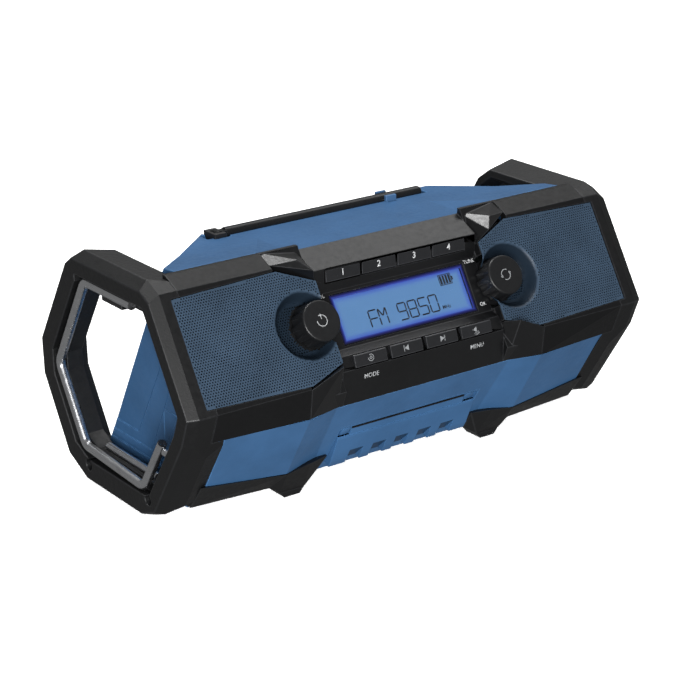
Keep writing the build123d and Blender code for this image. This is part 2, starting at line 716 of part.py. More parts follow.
def key_switches():
    """Tact switches under the key stems, on the control board."""
    switches = []
    for pitch, top, low in ((PRESET_PITCH, PRESET_TOP, PRESET_LOW), (FUNCTION_PITCH, FUNCTION_TOP, FUNCTION_LOW)):
        middle = (top[0] + low[0]) / 2
        for i in range(KEYS):
            x = (i - (KEYS - 1) / 2) * pitch
            case = block((x - 3, x + 3), (middle - 3, middle + 3), (BOARD_W, BOARD_W + 2), PANEL)
            switches.append(case + rod(PANEL, x, middle, BOARD_W + 2, BOARD_W + 3, 1.7))
    return Compound(children=switches)


# ---- display ----
def display_lens():
    return block((-LENS_HALF_X, LENS_HALF_X), (LENS_BOTTOM_V, LENS_TOP_V), (LENS_W - LENS_THICK, LENS_W), PANEL)


def lcd_module():
    glass = block((-LENS_HALF_X + 2.4, LENS_HALF_X - 2.4), (LENS_BOTTOM_V + 2.4, LENS_TOP_V - 2.4),
                  (FLOOR_W - 0.2, LENS_W - LENS_THICK - FIT), PANEL)
    light = block((-LENS_HALF_X - 1, LENS_HALF_X + 1), (LENS_BOTTOM_V, LENS_TOP_V), (BOARD_W, FLOOR_W - 0.2), PANEL)
    return glass + light


def board_post_rows():
    return (LENS_BOTTOM_V - 4.9, LENS_TOP_V + BOARD_POST_X)


def control_board():
    half, high = CONSOLE_X - 4.0, FACE_HALF - BOARD_EDGE
    board = block((-half, half), (-high, high), (BOARD_W - BOARD_THICK, BOARD_W), PANEL)
    for side in (-1, 1):
        for v in board_post_rows():
            board = board - rod(PANEL, side * (LENS_HALF_X + BOARD_POST_X), v, 2 * BOARD_W, 0, BOARD_POST_R / 2)
    return board


# ---- knobs ----
def grille():
    plate = slab(PANEL, grille_outline(0), GRILLE_W - GRILLE_THICK, GRILLE_W)
    trim = block((-LENGTH, -TROUGH_X - FIT), (-90, 90), (-30, 30), PANEL)
    dish = rod(PANEL, -DISH_X, 0, DISH_FLOOR_W - GRILLE_THICK, GRILLE_W, DISH_R - 5.0 + 1.0, DISH_R + 1.0)
    hollow = rod(PANEL, -DISH_X, 0, DISH_FLOOR_W, GRILLE_W + 0.01, DISH_R - 5.0, DISH_R)
    shell = (plate + dish) & trim
    sweep_room = rod(PANEL, -KNOB_X, 0, DISH_FLOOR_W, 9, KNOB_R + 1.0)
    return biggest(shell - hollow - sweep_room - rod(PANEL, -KNOB_X, 0, -30, 0, SHAFT_R + 1.5))


def knob():
    neck = KNOB_FACE_W - 2.0
    body = rod(PANEL, -KNOB_X, 0, KNOB_BASE_W, neck, KNOB_R, KNOB_FACE_R + 0.4)
    crown = rod(PANEL, -KNOB_X, 0, neck, KNOB_FACE_W, KNOB_FACE_R + 0.4, KNOB_FACE_R - 0.8)
    cap = body + crown
    for i in range(KNOB_FLUTES):
        angle = 2 * math.pi * i / KNOB_FLUTES
        x = -KNOB_X + (KNOB_R + 0.9) * math.cos(angle)
        v = (KNOB_R + 0.9) * math.sin(angle)
        cap = cap - rod(PANEL, x, v, KNOB_BASE_W - 1, neck - 1.5, 1.9)
    return cap - rod(PANEL, -KNOB_X, 0, KNOB_BASE_W - 1, 2.0, SHAFT_R + RUN)


def knob_shaft():
    return rod(PANEL, -KNOB_X, 0, BOARD_W + 2.0, 2.0 - KNOB_TRAVEL - 0.1, SHAFT_R)


def encoder():
    case = block((-KNOB_X - 6.5, -KNOB_X + 6.5), (-6.5, 6.5), (BOARD_W, BOARD_W + 6.5), PANEL)
    bush = rod(PANEL, -KNOB_X, 0, BOARD_W + 6.5, DISH_FLOOR_W - 0.2, SHAFT_R + 1.2)
    return case + bush - rod(PANEL, -KNOB_X, 0, BOARD_W + 1.9, 0, SHAFT_R + RUN)


# ---- speakers ----
def speaker_basket():
    flange = rod(PANEL, -SPEAKER_X, 0, SPEAKER_SEAT_W - 2, SPEAKER_SEAT_W, SPEAKER_R)
    waist, mouth = SPEAKER_R * 13 / 24, SPEAKER_R * 7 / 8
    cup = rod(PANEL, -SPEAKER_X, 0, SPEAKER_SEAT_W - 18, SPEAKER_SEAT_W - 2, waist, mouth)
    hollow = rod(PANEL, -SPEAKER_X, 0, SPEAKER_SEAT_W - 16.5, SPEAKER_SEAT_W + 0.01, waist * 11 / 13, mouth - 1.0)
    throat = rod(PANEL, -SPEAKER_X, 0, -60, 0, SPEAKER_R * 3 / 8)
    return flange + cup - hollow - throat


def speaker_cone():
    throat, rim = SPEAKER_R / 3, SPEAKER_R * 19 / 24
    outer = rod(PANEL, -SPEAKER_X, 0, SPEAKER_SEAT_W - 15, SPEAKER_SEAT_W - 1, throat, rim)
    inner = rod(PANEL, -SPEAKER_X, 0, SPEAKER_SEAT_W - 14, SPEAKER_SEAT_W, throat, rim)
    surround = rod(PANEL, -SPEAKER_X, 0, SPEAKER_SEAT_W - 1.2, SPEAKER_SEAT_W - 0.2, rim + 0.1)
    surround = surround - rod(PANEL, -SPEAKER_X, 0, -60, 0, rim - 1.5)
    cap = rod(PANEL, -SPEAKER_X, 0, SPEAKER_SEAT_W - 15, SPEAKER_SEAT_W - 12, throat)
    return biggest((outer - inner) + surround + cap)


def speaker_magnet():
    top = SPEAKER_SEAT_W - 18
    return rod(PANEL, -SPEAKER_X, 0, SPEAKER_SEAT_W - SPEAKER_DEPTH, top, SPEAKER_R * 17 / 24)


# ---- housing ----
def end_steps():
    """Shallow steps in the left end wall that run with the finger cut's edge."""
    cuts = []
    for i, ((y0, z0), (y1, z1)) in enumerate(END_STEPS):
        high = (y0 + 2 * (y0 - y1), z0 + 2 * (z0 - z1))
        outline = [high, (y1, z1), (REAR_CORNER_Y, z1), (REAR_CORNER_Y, high[1])]
        cuts.append(prism(outline, -LENGTH, -BODY_X + WALL * (i + 1) / 6))
    return cuts


def housing_shell():
    outer = prism(housing_outline(), -BODY_X, BODY_X)
    edges = [WALL, 0.0, 0.0, WALL, WALL, WALL, WALL, WALL, WALL, WALL]
    inner = prism(inset(housing_outline(), edges), -BODY_X + WALL, BODY_X - WALL)
    cut, deep = finger_cut(0), finger_cut(WALL)
    outer = outer - cut - mirrored(cut)
    inner = inner - deep - mirrored(deep)
    for step in end_steps():
        outer = outer - step - mirrored(step)
    return outer - inner


def chin_ridges():
    """Facets of the lower front: a ridge each side that runs on from the corner guards."""
    ridges = []
    end, inner = RING_IN_X - FIT, TROUGH_X + 1.5
    crest = GUARD_PROUD * CHIN_DZ / CHIN_LENGTH
    for side in (-1, 1):
        spots = [
            (end, CHIN_HALF, 0.0), (CONSOLE_X, CHIN_HALF + 3.0, crest), (TROUGH_X + 4.5, CHIN_HALF, 0.0),
            (end, -CHIN_HALF + 20.0, 1.2), (CONSOLE_X, -CHIN_HALF + 16.0, 6.0), (inner, -CHIN_HALF + 10.0, 0.0),
            (end, CHIN_HALF, -1.0), (TROUGH_X + 4.5, CHIN_HALF, -1.0),
            (end, -CHIN_HALF + 20.0, -1.0), (inner, -CHIN_HALF + 10.0, -1.0),
        ]
        points = []
        for x, v, w in spots:
            point = CHIN.from_local_coords(Vector(side * x, v, w))
            points.append((point.X, point.Y, point.Z))
        ridges.append(hull(points))
    return ridges


def tub_envelope():
    """Room in the lower front for the bay's tub."""
    return block(
        (-BAY_X - BAY_SHELL, BAY_X + BAY_SHELL),
        (BAY_BOTTOM - BAY_SHELL, BAY_TOP + BAY_SHELL),
        (-BAY_DEPTH - BAY_SHELL, 0),
        CHIN,
    )


def hinge_envelope():
    """Room in the lower front for the hinge's carrier."""
    half = HATCH_TOP_X + 10.5
    return block((-half, half), (HATCH_TOP - 9.5, HATCH_TOP + 2.5), (-9.5, 0), CHIN)


def hatch_seat():
    """Shallow seat for the hatch and the slot that its root turns in."""
    seat = block((-HATCH_X - FIT, HATCH_X + FIT), (HATCH_BOTTOM - FIT, HATCH_TOP + FIT), (-1.5, 10), CHIN)
    half = HATCH_TOP_X + 8.5
    return seat + block((-half, half), (HATCH_TOP - 7.5, HATCH_TOP + HATCH_SWING), (-7.5, 10), CHIN)


def accessory_tub():
    """Bay behind the hatch, with the sockets' holes in its floor."""
    bay = block((-BAY_X, BAY_X), (BAY_BOTTOM, BAY_TOP), (-BAY_DEPTH, 10), CHIN)
    tub = tub_envelope() - bay - hatch_seat()
    for kind in ("aux", "usb", "power"):
        tub = tub - socket_body(kind, 0.1)
    return biggest(tub)


def hinge_carrier():
    """Trough over the bay with the two ears that the hatch's pin runs in."""
    carrier = hinge_envelope() - tub_envelope() - hatch_seat()
    for side in (-1, 1):
        middle = side * (HATCH_TOP_X + 8.5)
        ear = block((middle - 1, middle + 1), (HATCH_TOP - 7.5, HATCH_TOP + FIT), (-7.5, -1.5), CHIN)
        carrier = carrier + ear
    return biggest(carrier - hinge_bore(RUN))


def front_lower_housing():
    region = block((-LENGTH, LENGTH), (-FAR, HOUSING_SPLIT_Y), (0, CHIN_Z))
    shell = housing_shell() & region
    for ridge in chin_ridges():
        shell = shell + ridge
    slice_top = block((-LENGTH, LENGTH), (-FAR, HOUSING_SPLIT_Y), (CHIN_Z, TOP_Z))
    shell = shell - slice_top
    shell = shell - tub_envelope() - hinge_envelope() - hatch_seat()
    for base in (base_bumper_envelope(), mirrored(base_bumper_envelope())):
        shell = shell - base
    for hole in ring_screw_holes():
        shell = shell - hole
    return biggest(shell)


def rear_housing():
    region = block((-LENGTH, LENGTH), (HOUSING_SPLIT_Y, FAR), (0, COVER_BASE_Z))
    upper = block((-LENGTH, LENGTH), (-FAR, HOUSING_SPLIT_Y), (CHIN_Z, COVER_BASE_Z))
    shell = (housing_shell() & region) + (housing_shell() & upper)
    mouth = block(
        (-PACK_X - FIT - BAY_WALL, PACK_X + FIT + BAY_WALL),
        (0, FAR),
        (PACK_BOTTOM_Z - FIT - BAY_WALL, PACK_TOP_Z + BAY_HEADROOM + BAY_WALL),
    )
    shell = shell - mouth
    for side in (-1, 1):
        foot = block(
            (side * 77 - 11, side * 77 + 11),
            (REAR_FOOT_Y - 9, REAR_FOOT_Y + 9),
            (FOOT_PAD, HOUSING_BOTTOM_Z + 1),
        )
        shell = shell + foot
    shell = rear_bosses(shell)
    for hole in ring_screw_holes():
        shell = shell - hole
    return biggest(shell)


def top_cover():
    """Cover with a recessed middle and raised ends, cut for the antenna."""
    rear_y = ANTENNA_Y + 8.0
    level_y = COVER_FRONT_Y + (TOP_Z - COVER_Z) / COVER_FALL
    section = [(COVER_FRONT_Y, COVER_BASE_Z), (COVER_FRONT_Y, TOP_Z), (level_y, COVER_Z), (rear_y, COVER_Z),
               (rear_y, COVER_BASE_Z)]
    plate = prism(section, -COVER_X, COVER_X)
    floor_x, edge_x = TROUGH_X + 4.5, CONSOLE_X + 1.0
    recess = slab(
        Plane.XZ.offset(-rear_y - 1),
        [(-floor_x, COVER_Z), (floor_x, COVER_Z), (edge_x, TOP_Z + 0.01), (-edge_x, TOP_Z + 0.01)],
        0,
        rear_y - COVER_FRONT_Y + 2,
    )
    cut = finger_cut(0)
    cover = plate - recess - cut - mirrored(cut)
    length = (ANTENNA_PIVOT_X - 10, ANTENNA_TIP_X + 3)
    middle = Plane.YZ.location * Pos(ANTENNA_Y, ANTENNA_Z, (length[0] + length[1]) / 2)
    groove = middle * Cylinder(ANTENNA_R + 0.6, length[1] - length[0])
    above = block(length, (ANTENNA_Y - ANTENNA_R - 0.6, rear_y + 1), (ANTENNA_Z, TOP_Z + 1))
    base = block(
        (ANTENNA_PIVOT_X - FORK_REACH - FIT, ANTENNA_PIVOT_X + 6), (ANTENNA_Y - 7, rear_y + 1), (COVER_BASE_Z - 1, TOP_Z + 1)
    )
    reach = ANTENNA_R + 0.35
    clip = block(
        (ANTENNA_CLIP_X - 4.0, ANTENNA_CLIP_X + 4.0),
        (ANTENNA_Y - reach - 2.5, rear_y + 1),
        (COVER_BASE_Z - 1, TOP_Z + 1),
    )
    return biggest(cover - groove - above - base - clip)


def base_bumper_envelope():
    """Space of the left base bumper: a gusset from the ring to the foot's proud root."""
    rear_y = BASE_FRONT_Y + 22.0

    def on_slant(x, rise, w):
        point = CHIN.from_local_coords(Vector(x, rise - CHIN_HALF, w))
        return (point.X, point.Y, point.Z)

    crest = on_slant(-CONSOLE_X, 15.8, 6.5)
    heel = (-FOOT_ROOT_OUT_X, FOOT_FRONT_Y, BASE_FRONT_Z - 2.3)
    gusset = [on_slant(-BODY_X, 22.0, 2.4), (-BODY_X, BASE_FRONT_Y - 0.2, BASE_FRONT_Z - 0.7), crest, heel]
    root = [
        crest, heel,
        on_slant(-FOOT_IN_X, 18.2, 5.0),
        on_slant(-HATCH_X - 3.0, 16.7, 2.0),
        (-FOOT_ROOT_IN_X, BASE_FRONT_Y + 1.3, BASE_FRONT_Z - 2.1),
    ]
    pad = [
        (x, y, FOOT_PAD)
        for x in (-FOOT_OUT_X - 3.6, -FOOT_IN_X + 3.6)
        for y in (FOOT_FRONT_Y, FOOT_FRONT_Y + FOOT_LENGTH)
    ]
    sides = hull(gusset + [(x, rear_y, z) for x, y, z in gusset])
    return sides + hull(root + [(x, rear_y, z) for x, y, z in root] + pad)


def base_bumper():
    """Gusset with the front foot's root, cored out from behind."""
    core = block(
        (-BODY_X + 15.0, -FOOT_ROOT_IN_X - WALL),
        (BASE_FRONT_Y + 2.5, BASE_FRONT_Y + 23.0),
        (BASE_FRONT_Z + 1.5, BASE_FRONT_Z + 6.8),
    )
    bumper = base_bumper_envelope() - core
    for hole in ring_screw_holes():
        bumper = bumper - hole
    return biggest(bumper)


def rubber_feet():
    feet = []
    for side in (-1, 1):
        for front, length in ((FOOT_FRONT_Y, FOOT_LENGTH), (REAR_FOOT_Y - 7.0, 14.0)):
            spots = [
                (side * x, y, z)
                for y in (front, front + length)
                for x, z in ((FOOT_IN_X - 3.6, FOOT_PAD), (FOOT_OUT_X + 3.6, FOOT_PAD), (FOOT_IN_X, 0), (FOOT_OUT_X, 0))
            ]
            feet.append(hull(spots))
    return Compound(children=feet)


# ---- accessory hatch ----
def hinge_bore(clearance):
    reach = 2 * (HATCH_TOP_X + 11.0)
    spot = CHIN.from_local_coords(Vector(0, HATCH_TOP - 3.2, -3.6))
    return Plane.YZ.location * Pos(spot.Y, spot.Z, 0) * Cylinder(HINGE_R + clearance, reach)


def accessory_hatch():
    outline = [
        (HATCH_BOTTOM, -1.2), (HATCH_BOTTOM, HATCH_PROUD), (HATCH_BOTTOM + 5.0, HATCH_PROUD),
        (HATCH_TOP - 8.5, 1.2), (HATCH_TOP - 6.8, 0.6), (HATCH_TOP - 6.8, -1.2),
    ]
    panel = profile(CHIN, outline, -HATCH_X, HATCH_X)
    tongue = profile(
        CHIN,
        [(HATCH_TOP - 7.0, -1.2), (HATCH_TOP - 7.0, 0.6), (HATCH_TOP - 1.0, -0.8), (HATCH_TOP - 3.2, -3.0)],
        -HATCH_TOP_X,
        HATCH_TOP_X,
    )
    spot = CHIN.from_local_coords(Vector(0, HATCH_TOP - 3.2, -3.6))
    barrel = Plane.YZ.location * Pos(spot.Y, spot.Z, 0) * Cylinder(KNUCKLE_R, 2 * HATCH_TOP_X)
    hatch = panel + tongue + barrel
    top = HATCH_BOTTOM + SCALLOP_RISE
    dip = [(HATCH_BOTTOM - 1, 0.2), (top, HATCH_PROUD - 1.0), (top + 2.0, HATCH_PROUD + 2.0), (HATCH_BOTTOM - 1, HATCH_PROUD + 2.0)]
    for i in range(SCALLOPS):
        x = (i - (SCALLOPS - 1) / 2) * SCALLOP_PITCH
        hatch = hatch - profile(CHIN, dip, x - SCALLOP_HALF, x + SCALLOP_HALF)
    return biggest(hatch - hinge_bore(RUN))


def hatch_pin():
    spot = CHIN.from_local_coords(Vector(0, HATCH_TOP - 3.2, -3.6))
    return Plane.YZ.location * Pos(spot.Y, spot.Z, 0) * Cylinder(HINGE_R, 2 * (HATCH_TOP_X + 9.0))


def connection_panel():
    """Plate on the bay's floor that holds the sockets."""
    plate = block((-BAY_X + FIT, BAY_X - FIT), (BAY_BOTTOM + FIT, BAY_TOP - 6.0), (-BAY_DEPTH, -BAY_DEPTH + 2), CHIN)
    for kind in ("aux", "usb", "power"):
        plate = plate - socket_body(kind, 0.1)
    return plate


def socket_body(kind, grow=0.0):
    low, high = -BAY_DEPTH - SOCKET_REAR, -BAY_DEPTH + SOCKET_PROUD
    if kind == "aux":
        return rod(CHIN, AUX_X, SOCKET_V, low, high, AUX_R + grow)
    if kind == "power":
        return rod(CHIN, INLET_X, SOCKET_V, low, high, INLET_R + grow)
    half_x, half_v = USB_HALF_X + grow, USB_HALF_V + grow
    return block((USB_X - half_x, USB_X + half_x), (SOCKET_V - half_v, SOCKET_V + half_v), (low, high), CHIN)


def socket(kind):
    """A socket: its body with a blind mouth."""
    low, high = -BAY_DEPTH - SOCKET_REAR + SOCKET_BACK, -BAY_DEPTH + SOCKET_PROUD + 1.0
    if kind == "aux":
        return socket_body(kind) - rod(CHIN, AUX_X, SOCKET_V, low, high, AUX_BORE_R)
    if kind == "power":
        return socket_body(kind) - rod(CHIN, INLET_X, SOCKET_V, low, high, INLET_BORE_R)
    half_x, half_v = USB_HALF_X - USB_SHELL, USB_HALF_V - USB_SHELL
    mouth = block((USB_X - half_x, USB_X + half_x), (SOCKET_V - half_v, SOCKET_V + half_v), (low, high), CHIN)
    return socket_body(kind) - mouth


# ---- battery ----
def battery_bay():
    """Tub for the pack, open at the rear, with a rail lip on each side wall."""
    outer = block(
        (-PACK_X - FIT - BAY_WALL, PACK_X + FIT + BAY_WALL),
        (PACK_FRONT_Y + 2.0, REAR_CORNER_Y),
        (PACK_BOTTOM_Z - FIT - BAY_WALL, PACK_TOP_Z + BAY_HEADROOM + BAY_WALL),
    )
    hollow = block(
        (-PACK_X - FIT, PACK_X + FIT),
        (PACK_FRONT_Y + 2.0 + BAY_WALL, 2 * REAR_CORNER_Y),
        (PACK_BOTTOM_Z - FIT, PACK_TOP_Z + BAY_HEADROOM),
    )
    tub = (outer - hollow) & prism(housing_outline(), -LENGTH, LENGTH)
    low = PACK_TOP_Z - PACK_TOWER + RAIL_GAP
    for side in (-1, 1):
        lip = (side * PACK_X - 4.5, side * PACK_X + 4.5)
        rail = block(lip, (PACK_FRONT_Y + 3.0, PACK_REAR_Y - 26.0), (low, low + RAIL_THICK))
        tub = tub + (rail & outer)
    for x in TERMINAL_SPOTS:
        tub = tub - block((x - 0.8, x + 0.8), (PACK_FRONT_Y, PACK_FRONT_Y + 6), (PACK_TOP_Z - 6.5, PACK_TOP_Z - 1.0))
    return biggest(tub)


def battery_case():
    """Slide-in pack: case, neck and flange with grooves for the rails."""
    front = PACK_FRONT_Y + 2.0 + BAY_WALL + FIT
    case_top = PACK_TOP_Z - PACK_TOWER
    neck_x = PACK_X - 4.5 - FIT
    flange_low = case_top + RAIL_THICK + 2 * RAIL_GAP
    pack = block((-PACK_X, PACK_X), (front, PACK_REAR_Y), (PACK_BOTTOM_Z, case_top))
    pack = pack + block((-neck_x, neck_x), (front, PACK_REAR_Y - 12), (case_top - 1, PACK_TOP_Z - 1))
    pack = pack + block((-PACK_X + 1, PACK_X - 1), (front, PACK_REAR_Y - 12), (flange_low, PACK_TOP_Z))
    pack = pack + block((-PACK_X, PACK_X), (PACK_REAR_Y - 24, PACK_REAR_Y), (case_top - 1, PACK_TOP_Z - 4))
    for x in TERMINAL_SPOTS:
        pack = pack - block((x - 1.2, x + 1.2), (front - 1, front + 12), (PACK_TOP_Z - 7, PACK_TOP_Z - 0.5))
    return pack - block((-13, 13), (PACK_REAR_Y - 9, PACK_REAR_Y + 1), (PACK_TOP_Z - 24, PACK_TOP_Z - 5.5))


def battery_release():
    """Release button in the pack's rear face, with room above it to slide up."""
    return block((-12.7, 12.7), (PACK_REAR_Y - 8.7, PACK_REAR_Y - 1.5), (PACK_TOP_Z - 23.7, PACK_TOP_Z - 9.0))


def battery_terminals():
    """Contact carrier on the bay's end wall, its blades through slots in the wall."""
    front = PACK_FRONT_Y + 2.0 + BAY_WALL
    carrier = block((-26, 26), (PACK_FRONT_Y - 4, PACK_FRONT_Y + 2.0), (PACK_TOP_Z - 12, PACK_TOP_Z + 2.0))
    for x in TERMINAL_SPOTS:
        carrier = carrier + block((x - 0.5, x + 0.5), (front - 4, front + 9), (PACK_TOP_Z - 6, PACK_TOP_Z - 1.5))
    return carrier


# ---- antenna ----
def antenna_base():
    """Fork in the cover, with the pin that the antenna's root turns on."""
    y0, y1 = ANTENNA_Y - 6.7, ANTENNA_Y + 7.0
    fork = block((ANTENNA_PIVOT_X - FORK_REACH, ANTENNA_PIVOT_X + 2.6), (y0, y1), (COVER_BASE_Z, ANTENNA_Z + 2.6))
    slot = block(
        (ANTENNA_PIVOT_X - 4.0, ANTENNA_PIVOT_X + 9.0), (ANTENNA_Y - 3.3, ANTENNA_Y + 3.3), (COVER_BASE_Z + 0.8, TOP_Z + 9)
    )
    return (fork - slot) + along_y(ANTENNA_PIVOT_X, ANTENNA_Z, y0 + 0.3, y1 - 0.3, 1.5)


def antenna():
    start = ANTENNA_PIVOT_X + 5.0
    length = ANTENNA_TIP_X - start
    mast = Plane.YZ.location * Pos(ANTENNA_Y, ANTENNA_Z, start + length / 2) * Cylinder(ANTENNA_R, length)
    mast = fillet(mast.edges().sort_by(Axis.X)[-1], 1.8)
    root = Plane.XZ.location * Pos(ANTENNA_PIVOT_X, ANTENNA_Z, -ANTENNA_Y) * Cylinder(3.4, 6.0)
    web = block((ANTENNA_PIVOT_X, start + 1), (ANTENNA_Y - 3.0, ANTENNA_Y + 3.0), (ANTENNA_Z - 2.6, ANTENNA_Z + 2.6))
    bore = Plane.XZ.location * Pos(ANTENNA_PIVOT_X, ANTENNA_Z, -ANTENNA_Y) * Cylinder(1.5 + RUN, 20.0)
    return mast + root + web - bore


def antenna_clip():
    """Spring clip with a finger each side of the folded antenna."""
    x = (ANTENNA_CLIP_X - 4.0, ANTENNA_CLIP_X + 4.0)
    reach = ANTENNA_R + 0.35
    low = COVER_BASE_Z
    saddle = block(x, (ANTENNA_Y - reach - 2.5, ANTENNA_Y + reach + 2.0), (low, ANTENNA_Z + 3.9))
    gap = block((-LENGTH, LENGTH), (ANTENNA_Y - reach, ANTENNA_Y + reach), (ANTENNA_Z, TOP_Z + 9))
    groove = Plane.YZ.location * Pos(ANTENNA_Y, ANTENNA_Z, ANTENNA_CLIP_X) * Cylinder(reach, 20.0)
    return biggest(saddle - gap - groove)


# ---- fasteners and boards ----
def amplifier_board():
    z = PACK_TOP_Z + BAY_HEADROOM + BAY_WALL + SPACER_HEIGHT
    return block((-AMP_HALF_X, AMP_HALF_X), AMP_Y, (z, z + BOARD_THICK))


def board_spacers():
    z = PACK_TOP_Z + BAY_HEADROOM + BAY_WALL
    posts = []
    for x in (SPACER_IN - AMP_HALF_X, AMP_HALF_X - SPACER_IN):
        for y in (AMP_Y[0] + SPACER_EDGE, AMP_Y[1] - SPACER_EDGE):
            posts.append(rod(Plane.XY, x, y, z, z + SPACER_HEIGHT, SPACER_R))
    return Compound(children=posts)


def rear_screws():
    """Screws in the rear face that draw the housings together."""
    y = REAR_CORNER_Y - 4.5
    screws = []
    for side in (-1, 1):
        for z in (CHIN_Z + 2.0, CHIN_Z + 14.0):
            head = along_y(side * REAR_SCREW_X, z, y - 5.5, y - 2.5, SCREW_HEAD_R)
            screws.append(head + along_y(side * REAR_SCREW_X, z, y - 18.0, y - 5.0, SCREW_R))
    return Compound(children=screws)


def rear_bosses(housing):
    """Bosses inside the rear wall, bored for the rear screws."""
    y = REAR_CORNER_Y - 4.5
    for side in (-1, 1):
        for z in (CHIN_Z + 2.0, CHIN_Z + 14.0):
            housing = housing + along_y(side * REAR_SCREW_X, z, y - 20.0, y - 1.0, SCREW_HEAD_R + 1.8)
            housing = housing - along_y(side * REAR_SCREW_X, z, y - 5.5, y + 1.0, SCREW_HEAD_R + FIT)
            housing = housing - along_y(side * REAR_SCREW_X, z, y - 18.5, y, SCREW_R + RUN)
    return housing


# ---- build and write ----
def build():
    left_ring = bumper_ring()
    right_ring = mirrored(left_ring)
    for cut in (hook_swing_relief(), bracket_space(LENGTH), lower_tie_rod(RUN), keeper_pin(RUN)):
        left_ring = left_ring - cut
    parts = {
        "left_bumper_ring": left_ring,
        "right_bumper_ring": right_ring,
        "console_fascia": console(),
        "left_speaker_frame": speaker_frame(),
        "left_grille": grille(),
        "front_lower_housing": front_lower_housing(),
        "rear_housing": rear_housing(),
        "top_cover": top_cover(),
        "left_base_bumper": base_bumper(),
        "rubber_feet": rubber_feet(),
        "display_lens": display_lens(),
        "lcd_module": lcd_module(),
        "control_board": control_board(),
        "key_switches": key_switches(),
        "left_knob_shaft": knob_shaft(),
        "left_knob": knob(),
        "left_encoder": encoder(),
        "left_speaker_basket": speaker_basket(),
        "left_speaker_cone": speaker_cone(),
        "left_speaker_magnet": speaker_magnet(),
        "accessory_tub": accessory_tub(),
        "hinge_carrier": hinge_carrier(),
        "accessory_hatch": accessory_hatch(),
        "hatch_pin": hatch_pin(),
        "connection_panel": connection_panel(),
        "aux_socket": socket("aux"),
        "usb_socket": socket("usb"),
        "power_inlet": socket("power"),
        "battery_bay": battery_bay(),
        "battery_case": battery_case(),
        "battery_release": battery_release(),
        "battery_terminals": battery_terminals(),
        "antenna_base": antenna_base(),
        "antenna": antenna(),
        "antenna_clip": antenna_clip(),
        "hanging_hook": hanging_hook(),
        "hook_bracket": hook_bracket(),
        "lower_tie_rod": lower_tie_rod(),
        "hook_keeper_pin": keeper_pin(),
        "ring_screws": ring_screws(),
        "rear_screws": rear_screws(),
        "amplifier_board": amplifier_board(),
        "board_spacers": board_spacers(),
    }
    for i in range(KEYS):
        parts[f"preset_key_{i + 1}"] = key("preset", i)
        parts[f"function_key_{i + 1}"] = key("function", i)
    for name in [n for n in parts if n.startswith("left_")]:
        twin = "right_" + name[len("left_"):]
        if twin not in parts:
            parts[twin] = mirrored(parts[name])
    return parts


def main():
    os.makedirs("parts", exist_ok=True)
    parts = build()
    whole = Compound(children=[Compound(children=p.solids()) for p in parts.values()]).bounding_box()
    centre = whole.center()
    print("size", whole.size, "centre", centre, "floor", whole.min.Z)
    move = Pos(-centre.X, -centre.Y, -whole.min.Z)
    names = {
        "left_knob": "volume_knob",
        "right_knob": "tuning_knob",
        "left_knob_shaft": "volume_shaft",
        "right_knob_shaft": "tuning_shaft",
        "left_encoder": "volume_encoder",
        "right_encoder": "tuning_encoder",
    }
    for name, shape in parts.items():
        solids = [move * s for s in shape.solids()]
        result = solids[0] if len(solids) == 1 else Compound(children=solids)
        export_step(result, f"parts/{names.get(name, name)}.step")


main()
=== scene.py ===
import bpy
import json
import math
from mathutils import Matrix, Vector


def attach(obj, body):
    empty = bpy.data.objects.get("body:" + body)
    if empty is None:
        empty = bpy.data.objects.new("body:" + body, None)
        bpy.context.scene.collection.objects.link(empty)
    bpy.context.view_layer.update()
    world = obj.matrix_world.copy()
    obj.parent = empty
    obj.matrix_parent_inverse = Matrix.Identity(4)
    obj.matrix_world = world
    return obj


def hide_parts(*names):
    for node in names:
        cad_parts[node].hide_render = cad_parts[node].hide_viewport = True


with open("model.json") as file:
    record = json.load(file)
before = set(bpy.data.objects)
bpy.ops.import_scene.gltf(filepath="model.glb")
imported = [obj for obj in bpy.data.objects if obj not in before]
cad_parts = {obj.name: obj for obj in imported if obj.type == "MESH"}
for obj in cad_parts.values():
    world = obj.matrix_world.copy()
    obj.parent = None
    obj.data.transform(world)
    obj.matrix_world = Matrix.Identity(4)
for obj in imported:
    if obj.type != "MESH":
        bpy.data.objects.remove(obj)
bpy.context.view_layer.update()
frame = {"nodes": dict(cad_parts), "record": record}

MM = 0.001
SETBACK = -0.080671            # the frame's origin against the drawing's, along Y
LEAN = math.radians(31.5)

# ---- sizes of this radio that the dressed pieces share, in millimetres ----
FACE_Y, FACE_Z = -68.5 + SETBACK, 118.6
CHIN_TOP = (-80.4 + SETBACK, 66.5)
CHIN_LOW = (-44.5 + SETBACK, 11.7)
CHIN_LONG = math.hypot(CHIN_LOW[0] - CHIN_TOP[0], CHIN_LOW[1] - CHIN_TOP[1])
KNOB_X, DISH_X, DISH_R = 70.9, 78.5, 21.7
GRILLE_TOP_W = -1.0
HOLE_PITCH, HOLE_REACH, SHEET_THICK = 1.8, 0.60, 0.7
KEY_PITCHES = {"preset": 27.2, "function": 27.3}
KEYS_IN_ROW = 4

# left and right as signs along X, and the names that go with them
SIDES = (-1, 1)
HAND = {-1: "left", 1: "right"}
KNOB_NAME = {-1: "volume", 1: "tuning"}

